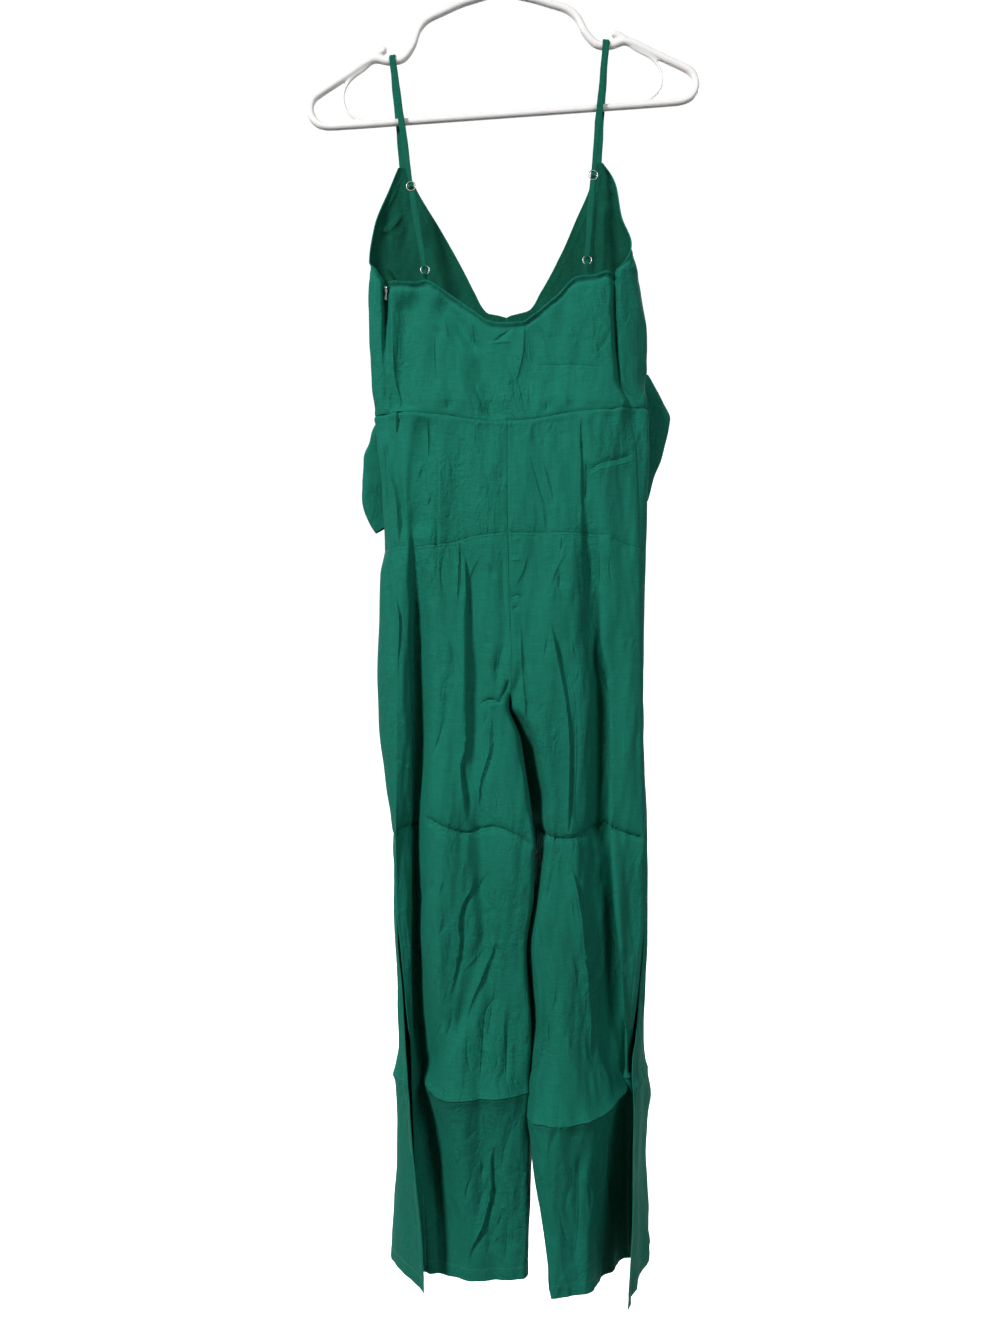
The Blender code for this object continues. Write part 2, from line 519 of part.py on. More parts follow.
def leg_stations(side, z):
    """The plan stations of a leg's back and front panels at one height."""
    inner = LEG[side]["inner"].at(z)
    flat = LEG[side]["flat"].at(z)
    fold = LEG[side]["fold"].at(z)
    seam = LEG[side]["side"].at(z)
    outline = LEG[side]["outline"].at(z)
    flap = LEG[side]["flap"].at(z) if z < SLIT_TOP else seam
    edge = Vector((seam.x, seam.y))
    lip = Vector((fold.lip_x, fold.lip_y))
    near = Vector((inner.x + side * inner.shoulder, flat.back_in))
    far = Vector((fold.x - side * FOLD_WIDTH, flat.back_out))
    back = [
        Vector((inner.x, inner.back_y)),
        near,
        (near + far) / 2,
        far,
        Vector((fold.x, fold.y)),
        lip,
        (lip + edge) / 2,
        edge,
    ]
    shoulder = Vector((outline.x - side * OUTER_SHOULDER, flat.front_out))
    inside = Vector((inner.x + side * inner.shoulder, flat.front_in))
    front = [
        Vector((flap.x, flap.y)),
        Vector((outline.x, outline.y)),
        shoulder,
        (shoulder + inside) / 2,
        inside,
        Vector((inner.x, inner.front_y)),
    ]
    return back, front


def leg_sections(side, z):
    """Points and outward directions of a leg's two panels at one height."""
    back, front = leg_stations(side, z)
    closed = blend(CLOSED_ABOVE, CROTCH, z)
    opened = blend(SLIT_TOP, SLIT_OPEN, z)
    mirror_back = Vector((2 * back[0].x - back[1].x, back[0].y))
    mirror_front = Vector((2 * front[-1].x - front[-2].x, front[-1].y))
    back_before = mirror_back.lerp(front[-2], closed)
    front_after = mirror_front.lerp(back[1], closed)
    back_after = front[1].lerp(back[-1] * 2 - back[-2], opened)
    front_before = back[-2].lerp(front[0] * 2 - front[1], opened)
    back_points, back_directions = trace(back, BACK_STEPS, back_before, back_after)
    front_points, front_directions = trace(front, FRONT_STEPS, front_before, front_after)
    return (
        (back_points, facing(back_directions, side)),
        (front_points, facing(front_directions, side)),
    )


def build_leg(side):
    """The back and the front panel of one leg, from the waist seam to the hem."""
    panels = (("back_leg_", WAIST), ("front_leg_", FRONT_WAIST))
    for panel, (name, waist) in enumerate(panels):
        rows = []
        for level in LEG_HEIGHTS:
            base, _ = leg_sections(side, max(level, LEG_HEM[side]))[panel]
            row = []
            for column, foot in enumerate(base):
                z = leg_height(max(level, LEG_HEM[side]), foot.x, waist)
                points, outwards = leg_sections(side, z)[panel]
                row += lift([points[column]], [outwards[column]], [z])
            rows.append(row)
        make_wall(name + SIDE_NAME[side], rows)


# Straps, sliders and rings ------------------------------------------------------------------

def make_ribbon(name, route, across, thickness=STRAP_THICKNESS):
    """A flat strap along a route of (point, width), lying across the given directions."""
    band = bmesh.new()
    rings = []
    for index, (point, width) in enumerate(route):
        ahead = route[min(index + 1, len(route) - 1)][0]
        behind = route[max(index - 1, 0)][0]
        along = (ahead - behind).normalized()
        wide = (across[index] - along * across[index].dot(along)).normalized()
        thick = along.cross(wide).normalized()
        rings.append([
            band.verts.new(point + wide * (a * width / 2) + thick * (b * thickness / 2))
            for a, b in ((-1, -1), (1, -1), (1, 1), (-1, 1))
        ])
    for start, end in zip(rings, rings[1:]):
        for i in range(4):
            j = (i + 1) % 4
            band.faces.new((start[i], start[j], end[j], end[i]))
    band.faces.new(rings[0][::-1])
    band.faces.new(rings[-1])
    bmesh.ops.recalc_face_normals(band, faces=band.faces)
    mesh = bpy.data.meshes.new(name)
    band.to_mesh(mesh)
    band.free()
    return place(name, mesh, CLOTH_FINISH)


def strap_route(strap):
    """The strap's middle line: apex, over the hanger, slider, round the ring and back."""
    over = HANGER_TUBE + 0.0008 + STRAP_THICKNESS / 2
    turn = RING_WIRE + STRAP_THICKNESS / 2 + 0.0004
    toward = Vector((0, 1, 0))
    front_top = strap.hanger + toward * over
    back_top = strap.hanger - toward * over
    route = [(strap.apex.lerp(front_top, share), STRAP_WIDTH) for share in (0.0, 0.3, 0.65)]
    for step in range(9):
        angle = math.pi * step / 8
        swing = Vector((0, over * math.cos(angle), over * math.sin(angle)))
        route.append((strap.hanger + swing, STRAP_WIDTH))
    route += [(back_top.lerp(strap.slider, share), STRAP_WIDTH) for share in (0.3, 0.6)]
    down = (strap.slider - back_top).normalized()
    for along, depth in (
        (-0.0080, turn), (-0.0033, turn), (-0.0010, -turn), (0.0010, -turn), (0.0033, turn),
        (0.0060, turn),
    ):
        route.append((strap.slider + down * along + toward * depth, STRAP_GATHERED))
    run = strap.ring - strap.slider
    fall = run.normalized()
    length = run.length
    rim = strap.ring - fall * RING_RADIUS
    for along, width in ((0.011, 0.0055), (0.5 * length, STRAP_WIDTH), (0.86 * length, 0.0052)):
        route.append((strap.slider + fall * along - toward * turn, width))
    for step in range(7):
        angle = math.pi * step / 6
        swing = fall * (RING_DIP * math.sin(angle)) - toward * (turn * math.cos(angle))
        route.append((rim + swing, STRAP_GATHERED))
    for along, width in ((0.86 * length, 0.0052), (0.5 * length, STRAP_WIDTH), (0.013, 0.0055)):
        route.append((strap.slider + fall * along + toward * turn, width))
    return route


def strap_across(strap, route):
    """The strap's width direction, turned evenly from its front run to its back run."""
    directions = []
    front = strap.hanger - strap.apex
    back = strap.hanger - strap.ring
    for index in range(len(route)):
        lean = front.lerp(back, blend(2, 12, index))
        directions.append(Vector((lean.z, 0, -lean.x)).normalized())
    return directions


def make_torus(name, centre, radius, wire, finish, bar=False):
    """A metal ring facing back, with a bar across it if it is a slider."""
    bpy.ops.mesh.primitive_torus_add(
        location=centre, rotation=(math.pi / 2, 0, 0), major_radius=radius, minor_radius=wire,
        major_segments=20, minor_segments=8,
    )
    ring = bpy.context.object
    if bar:
        bpy.ops.mesh.primitive_cylinder_add(
            vertices=8, radius=wire * 0.9, depth=2 * radius, location=centre,
            rotation=(0, math.pi / 2, 0),
        )
        join_pieces(ring, [bpy.context.object])
    return adopt(name, ring, finish)


def join_pieces(body, others):
    """Fuse other meshes into a body with Boolean unions."""
    for other in others:
        union = body.modifiers.new("join", "BOOLEAN")
        union.operation = "UNION"
        union.object = other
        other.hide_render = True
        other.display_type = "WIRE"
        bpy.data.collections[COLLECTION + "_cutters"].objects.link(other)
        for owner in list(other.users_collection):
            if owner.name != COLLECTION + "_cutters":
                owner.objects.unlink(other)
    return body


def adopt(name, piece, finish):
    """Name an object made by an operator and move it to the collection."""
    piece.name = name
    piece.data.name = name
    for owner in list(piece.users_collection):
        owner.objects.unlink(piece)
    bpy.data.collections[COLLECTION].objects.link(piece)
    piece.data.materials.clear()
    piece.data.materials.append(make_material(finish))
    return piece


def build_straps(side):
    """One strap with its slider and ring, and the loop that holds the ring."""
    strap = STRAPS[side]
    name = SIDE_NAME[side]
    route = strap_route(strap)
    make_ribbon("strap_" + name, route, strap_across(strap, route))
    make_torus("slider_" + name, strap.slider, SLIDER_RADIUS, RING_WIRE, METAL_FINISH, bar=True)
    make_torus("ring_" + name, strap.ring, RING_RADIUS, RING_WIRE, METAL_FINISH)
    build_strap_loop(side)


def build_strap_loop(side):
    """A short folded loop from behind the neckline, through the ring and back."""
    ring = STRAPS[side].ring
    turn = RING_WIRE + STRAP_THICKNESS / 2 + 0.0004
    top_z = NECKLINE.at(ring.x).z
    inside = BACK_BODICE.at(top_z).flat_y + CLOTH + SEAM_GAP + STRAP_THICKNESS / 2
    behind = inside + STRAP_THICKNESS + 0.0004
    rim = ring - Vector((0, 0, RING_RADIUS))
    route = [(Vector((ring.x, inside, top_z + drop)), STRAP_GATHERED) for drop in (-0.008, 0.0)]
    for step in range(7):
        angle = math.pi * step / 6
        swing = Vector((0, -turn * math.cos(angle), RING_DIP * math.sin(angle)))
        route.append((rim + swing, STRAP_GATHERED))
    route += [(Vector((ring.x, behind, top_z + drop)), STRAP_GATHERED) for drop in (0.0, -0.0075)]
    make_ribbon("strap_loop_" + SIDE_NAME[side], route, [Vector((1, 0, 0))] * len(route))


# Bow ----------------------------------------------------------------------------------------

def build_bow_loop(side):
    """A wide ribbon that leaves the knot, turns at its tip and comes back."""
    loop = LOOPS[side]
    levels = 6
    neck = 0.032
    start_x = KNOT.x + side * 0.0165
    rows = []
    for level in range(levels):
        share = level / (levels - 1)
        tip_x = loop.tip_x + side * loop.bulge * (1 - (2 * share - 1) ** 2)
        reach = tip_x - start_x
        stations = [
            Vector((start_x, 0.0335)),
            Vector((start_x + 0.35 * reach, 0.0335)),
            Vector((start_x + 0.75 * reach, 0.0325)),
            Vector((tip_x, 0.0385)),
            Vector((start_x + 0.75 * reach, 0.0450)),
            Vector((start_x + 0.35 * reach, 0.0470)),
            Vector((start_x, 0.0430)),
        ]
        before = stations[0] - Vector((side * 0.01, 0))
        after = stations[-1] - Vector((side * 0.01, 0))
        points, directions = trace(stations, (3, 3, 4, 4, 3, 3), before, after)
        heights = []
        for point in points:
            spread = min(max((point.x - start_x) / (loop.tip_x - start_x), 0.0), 1.0) ** 0.8
            top = KNOT.z + neck / 2 + (loop.top_z - KNOT.z - neck / 2) * spread
            bottom = KNOT.z - neck / 2 + (loop.bottom_z - KNOT.z + neck / 2) * spread
            heights.append(bottom + (top - bottom) * share)
        rows.append(lift(points, facing(directions, side), heights))
    make_wall("bow_loop_" + SIDE_NAME[side], rows)


def build_bow_tail(side):
    """A flat end that hangs from the knot, cut on a slant."""
    top_z = KNOT.z - 0.0205
    rows = []
    for level in range(7):
        share = level / 6
        centre_x = KNOT.x + side * (0.0088 + 0.020 * share)
        half = 0.0078 + 0.016 * share
        row = []
        for column in range(5):
            across = -1 + column / 2
            x = centre_x + across * half
            z = top_z - 0.185 * share - side * across * 0.012 * share
            y = 0.0400 - 0.0030 * share + 0.0012 * share * math.cos(math.pi * across)
            row.append((Vector((x, y, z)), Vector((0, 1, 0))))
        rows.append(row)
    make_wall("bow_tail_" + SIDE_NAME[side], rows)


def build_bow():
    """The knot, two loops and two short tails at the front of the waist."""
    bpy.ops.mesh.primitive_cube_add(size=1.0, location=KNOT)
    knot = bpy.context.object
    knot.data.transform(
        ((0.038, 0, 0, 0), (0, 0.0200, 0, 0), (0, 0, 0.048, 0), (0, 0, 0, 1))
    )
    smooth = knot.modifiers.new("soft", "SUBSURF")
    smooth.levels = 2
    smooth.render_levels = 2
    adopt("bow_knot", knot, CLOTH_FINISH)
    for side in (LEFT, RIGHT):
        build_bow_loop(side)
        build_bow_tail(side)


# Zip -----------------------------------------------------------------------------------------

def add_box(centre, size):
    """A box of its own size at its own place."""
    bpy.ops.mesh.primitive_cube_add(size=1.0, location=centre)
    box = bpy.context.object
    box.data.transform(
        ((size[0], 0, 0, 0), (0, size[1], 0, 0), (0, 0, size[2], 0), (0, 0, 0, 1))
    )
    return box


def add_pin(radius, length, centre=ZIP_PIN):
    """A cylinder along X on the pull's hinge axis."""
    bpy.ops.mesh.primitive_cylinder_add(
        vertices=12, radius=radius, depth=length, location=centre,
        rotation=(0, math.pi / 2, 0),
    )
    return bpy.context.object


def build_zip():
    """The slider at the top of the side seam, and the pull that swings on its pin."""
    face_y = ZIP_PIN.y + 0.00140
    body = add_box((ZIP_PIN.x, face_y + 0.0009, ZIP_PIN.z - 0.0018), (0.0024, 0.0018, 0.0056))
    lugs = [
        add_box(
            (ZIP_PIN.x + lean * 0.0010, ZIP_PIN.y + 0.00060, ZIP_PIN.z),
            (0.0004, 0.0024, 0.0016),
        )
        for lean in (-1, 1)
    ]
    join_pieces(body, [*lugs, add_pin(0.00035, 0.0021)])
    adopt("zip_slider", body, METAL_FINISH)

    drop = bpy.data.curves.new("zip_pull_outline", "CURVE")
    drop.dimensions = "2D"
    drop.fill_mode = "BOTH"
    drop.extrude = 0.00035
    outline = drop.splines.new("POLY")
    end_radius = 0.0014
    neck = 0.00045
    corners = [(-neck, -0.0008), (neck, -0.0008)]
    for step in range(13):
        angle = math.radians(20 - 220 * step / 12)
        corners.append((
            end_radius * math.cos(angle),
            -PULL_LENGTH + end_radius + end_radius * math.sin(angle),
        ))
    outline.points.add(len(corners) - 1)
    for point, (x, z) in zip(outline.points, corners):
        point.co = (x, z, 0, 1)
    outline.use_cyclic_u = True
    plate_curve = bpy.data.objects.new("zip_pull_outline", drop)
    bpy.context.scene.collection.objects.link(plate_curve)
    plate_curve.location = ZIP_PIN
    plate_curve.rotation_euler = (math.pi / 2, 0, 0)
    plate = curve_to_piece("zip_pull", plate_curve, PULL_FINISH)
    eye = add_pin(0.00105, 0.0010)
    join_pieces(plate, [eye])
    hole = add_pin(0.00065, 0.0040)
    join_pieces(plate, [hole])
    plate.modifiers[-1].operation = "DIFFERENCE"


def curve_to_piece(name, curve, finish):
    """Make a curve's evaluated shape one welded mesh piece at the same place."""
    bpy.context.view_layer.update()
    evaluated = curve.evaluated_get(bpy.context.evaluated_depsgraph_get())
    mesh = bpy.data.meshes.new_from_object(evaluated)
    weld = bmesh.new()
    weld.from_mesh(mesh)
    bmesh.ops.remove_doubles(weld, verts=weld.verts, dist=0.00001)
    weld.to_mesh(mesh)
    weld.free()
    spot = curve.matrix_world.copy()
    bpy.data.objects.remove(curve)
    piece = place(name, mesh, finish)
    piece.matrix_world = spot
    return piece


# Hanger --------------------------------------------------------------------------------------

HALF_FRAME = Table(
    "step x z radius",
    (0, 0.0000, -0.0850, 0.0045), (1, 0.0350, -0.0930, 0.0045), (2, 0.0600, -0.1020, 0.0045),
    (3, 0.0770, -0.1090, 0.0045), (4, 0.0870, -0.1190, 0.0045), (5, 0.0935, -0.1340, 0.0045),
    (6, 0.1020, -0.1460, 0.0045), (7, 0.1100, -0.1508, 0.0045), (8, 0.1225, -0.1512, 0.0045),
    (9, 0.1400, -0.1485, 0.0045), (10, 0.1700, -0.1650, 0.0045), (11, 0.1990, -0.1810, 0.0045),
    (12, 0.2075, -0.1880, 0.0045), (13, 0.2105, -0.1985, 0.0045), (14, 0.2070, -0.2100, 0.0044),
    (15, 0.1960, -0.2170, 0.0042), (16, 0.1700, -0.2184, 0.0040), (17, 0.0800, -0.2184, 0.0040),
)
KNOB = ((0.1420, -0.1498), (0.1330, -0.1432), (0.1262, -0.1392))
RIB = (
    (0.1380, -0.1500), (0.1500, -0.1590), (0.1630, -0.1672), (0.1712, -0.1775), (0.1740, -0.1900),
    (0.1705, -0.2030), (0.1600, -0.2120), (0.1500, -0.2170),
)
HOOK_CENTRE_Z = HANGER_TUBE - HOOK_RADIUS


def hanger_point(x, z):
    """Turn a point of the level hanger to its tilt about the hook's inner top."""
    return Vector((
        x * math.cos(HANGER_TILT) - z * math.sin(HANGER_TILT),
        0.0,
        x * math.sin(HANGER_TILT) + z * math.cos(HANGER_TILT),
    ))


def make_tube(name, points, radii, cyclic=False):
    """A moulded tube along points of the level hanger."""
    curve = bpy.data.curves.new(name, "CURVE")
    curve.dimensions = "3D"
    curve.bevel_depth = 1.0
    curve.bevel_resolution = 2
    curve.use_fill_caps = not cyclic
    spline = curve.splines.new("POLY")
    spline.points.add(len(points) - 1)
    for knot, (x, z), radius in zip(spline.points, points, radii):
        knot.co = (*hanger_point(x, z), 1.0)
        knot.radius = radius
    spline.use_cyclic_u = cyclic
    tube = bpy.data.objects.new(name, curve)
    bpy.context.scene.collection.objects.link(tube)
    return curve_to_piece(name, tube, PLASTIC_FINISH)


def build_hanger():
    """The closed frame with its strap hooks and thin ribs, and the round hook above."""
    half = [(row.x, row.z, row.radius) for row in HALF_FRAME.rows]
    loop = half + [(-x, z, radius) for x, z, radius in half[:0:-1]]
    frame = make_tube(
        "hanger_frame", [(x, z) for x, z, _ in loop], [radius for _, _, radius in loop], True
    )
    extras = []
    for side in (LEFT, RIGHT):
        for label, path, radius in (("knob", KNOB, 0.0042), ("rib", RIB, HANGER_RIB)):
            points = [(side * x, z) for x, z in path]
            extras.append(make_tube(label, points, [radius] * len(points)))
    for extra in extras:
        bpy.data.collections[COLLECTION].objects.unlink(extra)
    join_pieces(frame, extras)

    hook = [(0.0, -0.0850 + HANGER_TUBE + SEAM_GAP), (0.0, -0.0700), (0.0040, -0.0590)]
    for step in range(17):
        angle = math.radians(-42 + 240 * step / 16)
        hook.append((
            HOOK_RADIUS * math.cos(angle),
            HOOK_CENTRE_Z + HOOK_RADIUS * math.sin(angle),
        ))
    hook.insert(3, (0.0130, -0.0490))
    make_tube("hanger_hook", hook, [HANGER_TUBE] * len(hook))


def main():
    """Build every piece in an empty scene."""
    for old in list(bpy.data.objects):
        bpy.data.objects.remove(old)
    for name in (COLLECTION, COLLECTION + "_cutters"):
        bpy.context.scene.collection.children.link(bpy.data.collections.new(name))
    build_back_bodice()
    for side in (LEFT, RIGHT):
        build_front_bodice(side)
        build_leg(side)
        build_straps(side)
    build_bow()
    build_zip()
    build_hanger()


main()
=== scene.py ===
"""The finished look of a sleeveless wide-leg jumpsuit, hung by its straps on a moulded hanger.

Metres, +Z up, +X towards the wearer's right, -Y the way the garment's back faces. The origin
is the inner top of the hanger's hook. Every panel is a fine shell lofted through section
tables close to its solid's, then creased, hemmed and stitched.
"""

import logging
import math
from collections import namedtuple
from collections.abc import Callable, Sequence
from dataclasses import dataclass, field, replace
from enum import Enum

import bmesh
import bpy
import numpy as np
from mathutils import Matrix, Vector


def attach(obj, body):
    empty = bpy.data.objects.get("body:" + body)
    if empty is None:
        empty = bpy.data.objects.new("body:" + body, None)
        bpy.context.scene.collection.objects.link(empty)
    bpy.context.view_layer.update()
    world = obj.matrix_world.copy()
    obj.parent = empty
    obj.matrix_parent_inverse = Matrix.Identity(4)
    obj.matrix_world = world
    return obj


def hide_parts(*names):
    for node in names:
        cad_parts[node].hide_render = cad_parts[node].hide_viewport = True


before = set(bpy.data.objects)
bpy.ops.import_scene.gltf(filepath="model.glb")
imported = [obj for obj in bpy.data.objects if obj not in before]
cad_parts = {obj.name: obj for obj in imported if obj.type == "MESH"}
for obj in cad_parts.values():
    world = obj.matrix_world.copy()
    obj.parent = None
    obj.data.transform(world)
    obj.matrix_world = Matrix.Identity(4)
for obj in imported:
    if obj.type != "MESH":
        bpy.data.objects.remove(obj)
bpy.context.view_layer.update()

LOG = logging.getLogger("jumpsuit")
Array = np.ndarray
Spot = tuple[float, float]
Triple = tuple[float, float, float]
Piece = bpy.types.Object
Material = bpy.types.Material

BODY = "jumpsuit"
LEFT = -1.0
RIGHT = 1.0
SIDE_NAME = {LEFT: "left", RIGHT: "right"}
MILLIMETRE = 0.001


# Reading sizes down the garment ---------------------------------------------------------------


def sizes(text: str, count: int) -> Array:
    """Read rows of so many sizes, written in millimetres, as metres."""
    return np.array(text.replace("|", " ").split(), float).reshape(-1, count) * MILLIMETRE


class Table:
    """Rows of named sizes, read smoothly at any key between them."""

    def __init__(self, columns: str, rows: str) -> None:
        """Keep the rows in rising order and work out their slopes.

        Args:
            columns: Names of the columns; the first is the key.
            rows: The sizes in millimetres, a row for each key.
        """
        self.row = namedtuple("Row", columns)
        data = sizes(rows, len(self.row._fields))
        data = data[np.argsort(data[:, 0])]
        self.keys = data[:, 0]
        self.values = data[:, 1:]
        steps = np.diff(self.values, axis=0) / np.diff(self.keys)[:, None]
        before = np.vstack([steps[:1], steps])
        after = np.vstack([steps, steps[-1:]])
        same_way = before * after > 0
        total = np.where(same_way, before + after, 1.0)
        self.slopes = np.where(same_way, 2 * before * after / total, 0.0)

    def at(self, key: Array | float) -> tuple:
        """Read every column, eased between rows without overshooting them.

        Args:
            key: One key or an array of them.

        Returns:
            A named row whose fields have the key's shape.
        """
        key = np.clip(key, self.keys[0], self.keys[-1])
        last = len(self.keys) - 2
        index = np.clip(np.searchsorted(self.keys, key, side="right") - 1, 0, last)
        span = np.asarray(self.keys[index + 1] - self.keys[index])[..., None]
        u = np.asarray((key - self.keys[index]))[..., None] / span
        values = (
            self.values[index] * (2 * u**3 - 3 * u**2 + 1)
            + self.values[index + 1] * (3 * u**2 - 2 * u**3)
            + span * self.slopes[index] * (u**3 - 2 * u**2 + u)
            + span * self.slopes[index + 1] * (u**3 - u**2)
        )
        return self.row(key, *np.moveaxis(values, -1, 0))


def share_between(low: float, high: float, value: Array) -> Array:
    """How far a value has come from one level to another, from 0 to 1."""
    return np.clip((value - low) / (high - low), 0.0, 1.0)


def ease(share: Array) -> Array:
    """Soften both ends of a share from 0 to 1."""
    share = np.clip(share, 0.0, 1.0)
    return share * share * (3 - 2 * share)


def bell(distance: Array, width: float) -> Array:
    """A soft peak of height 1 about 0."""
    return np.exp(-((distance / width) ** 2))


# Section tables in millimetres, close to those that shape the solids --------------------------

# The waist seam and the back neckline, as heights across the garment
WAIST = Table("x z", """
    -126 -546.4 | -108.7 -546.1 | -60 -549 | 5 -556.5 | 30 -556 | 95 -546 | 130 -543 | 151.4 -538.9
    171 -538.4
""")
WAIST_LEVEL = -0.546
WAIST_GAP = 0.0002
FRONT_WAIST = Table("x z", "-126 -546.6 | 171 -538.4")
NECKLINE = Table("x z", """
    -114 -405.6 | -79 -406.3 | -69.8 -403.5 | -60 -408.5 | -37.5 -423.5 | -12.7 -441.2 | -2 -448
    16.3 -450.6 | 36.7 -448.8 | 44 -444 | 73.2 -420.1 | 93 -400.5 | 104.5 -398.5 | 120 -397.5
    136 -393
""")

BACK_COLUMNS = (
    "z left_x left_y left_lip_x left_lip_y flat_y right_lip_x right_lip_y right_x right_y"
)
BACK_BODICE = Table(BACK_COLUMNS, """
    -393 -113.4 0.2 -106 -17 -14.5 128 -12 135.6 -5
    -405.6 -113.4 0.2 -105.5 -18 -15.8 128.4 -12.8 135.8 -5
    -460 -113.7 -6 -105.5 -20 -19 129 -16 137.2 -6
    -510 -112.2 -13 -103.5 -21.5 -22 131 -20 140 -10
    -534 -108.7 -12 -99.8 -23.5 -26 142 -21 151.4 -10
""")
BODICE_FLATS = (-0.075, 0.018, 0.100)

FRONT_COLUMNS = (
    "z edge_x edge_y ridge_x ridge_y round_x round_y shoulder_x shoulder_y inner_x inner_y"
)
FRONT_BODICE = {
    LEFT: Table(FRONT_COLUMNS, """
        -273.1 -100 6 -99 6.4 -97.5 7 -95 7.8 -91.5 8.2
        -295 -108.5 4.5 -106.2 6.6 -102 8.5 -96 9.8 -81.5 10.5
        -340.1 -125.5 1 -123 6 -118 10 -106 12.5 -54 14
        -378.6 -130.8 -1 -129.5 4.5 -124 10.5 -112 15 -32 16.5
        -390 -123.5 -8.5 -130.5 -3 -130 4.5 -117 15.2 -26 17
        -405.6 -113.4 0.2 -119.2 -11 -132.2 0 -120 15.5 -18 18
        -428.6 -113.5 -2.5 -118.6 -12 -132.5 0 -120.5 16.5 -3.5 19
        -433.5 -113.5 -3 -117.8 -12 -132.5 0 -120.6 16.8 18.1 20
        -460 -113.7 -6 -117.8 -12 -131.8 0 -119.8 18 18.1 21.5
        -510 -112.2 -13 -117.6 -12 -128.5 0 -116.5 20.5 18.1 23.5
        -534 -108.7 -12 -117.5 -9.5 -125.9 0 -111.9 24 18.3 26
    """),
    RIGHT: Table(FRONT_COLUMNS, """
        -267.6 122.8 6 121.8 6.4 120.3 7 118 7.8 114.6 8.2
        -285 134 4.8 132.2 6.6 129 8.5 124 9.8 112.2 10
        -295 137.5 4 135.6 6.6 132 9 125 10.5 109.5 10.8
        -328 143 2 140.5 6.8 135.5 10.5 125 12.5 95 13 | -358 153.5 0 152.2 5.5 147 11 135 15 82 15
        -370 151.7 -6 156 -1.5 155.5 6 143 15.5 76 15.5
        -381 146.3 -9 153 -7 159.5 0 148 15.7 70.5 16
        -393 135.6 -5 141 -13.5 162.5 6 151 16 64 16.5
        -405.6 135.8 -5 140 -14 165 7 153.5 16.5 56.5 17.5
        -425.3 136.4 -5.3 139.8 -14.5 167.8 7.5 156 17 44.1 18.8
        -433.5 136.5 -5.5 139.8 -14.5 169 7.5 157.5 17.5 18.4 20
        -460 137.2 -6 140 -14.5 171.7 8 160 18.5 18.4 21.5
        -490 138.6 -8 142 -14.5 172 7 160 19.5 18.4 22.8
        -510 140 -10 144 -14.5 170 6 158.5 20.5 18.4 23.5
        -534 151.4 -10 160 -8 171.1 0 157.1 24 18.7 26
    """),
}
APEX_START = {LEFT: -0.390, RIGHT: -0.381}
APEX_TOP = {LEFT: -0.2731, RIGHT: -0.2676}
UNDERARM = {LEFT: -0.4056, RIGHT: -0.3930}
WAIST_BLEND = -0.4800

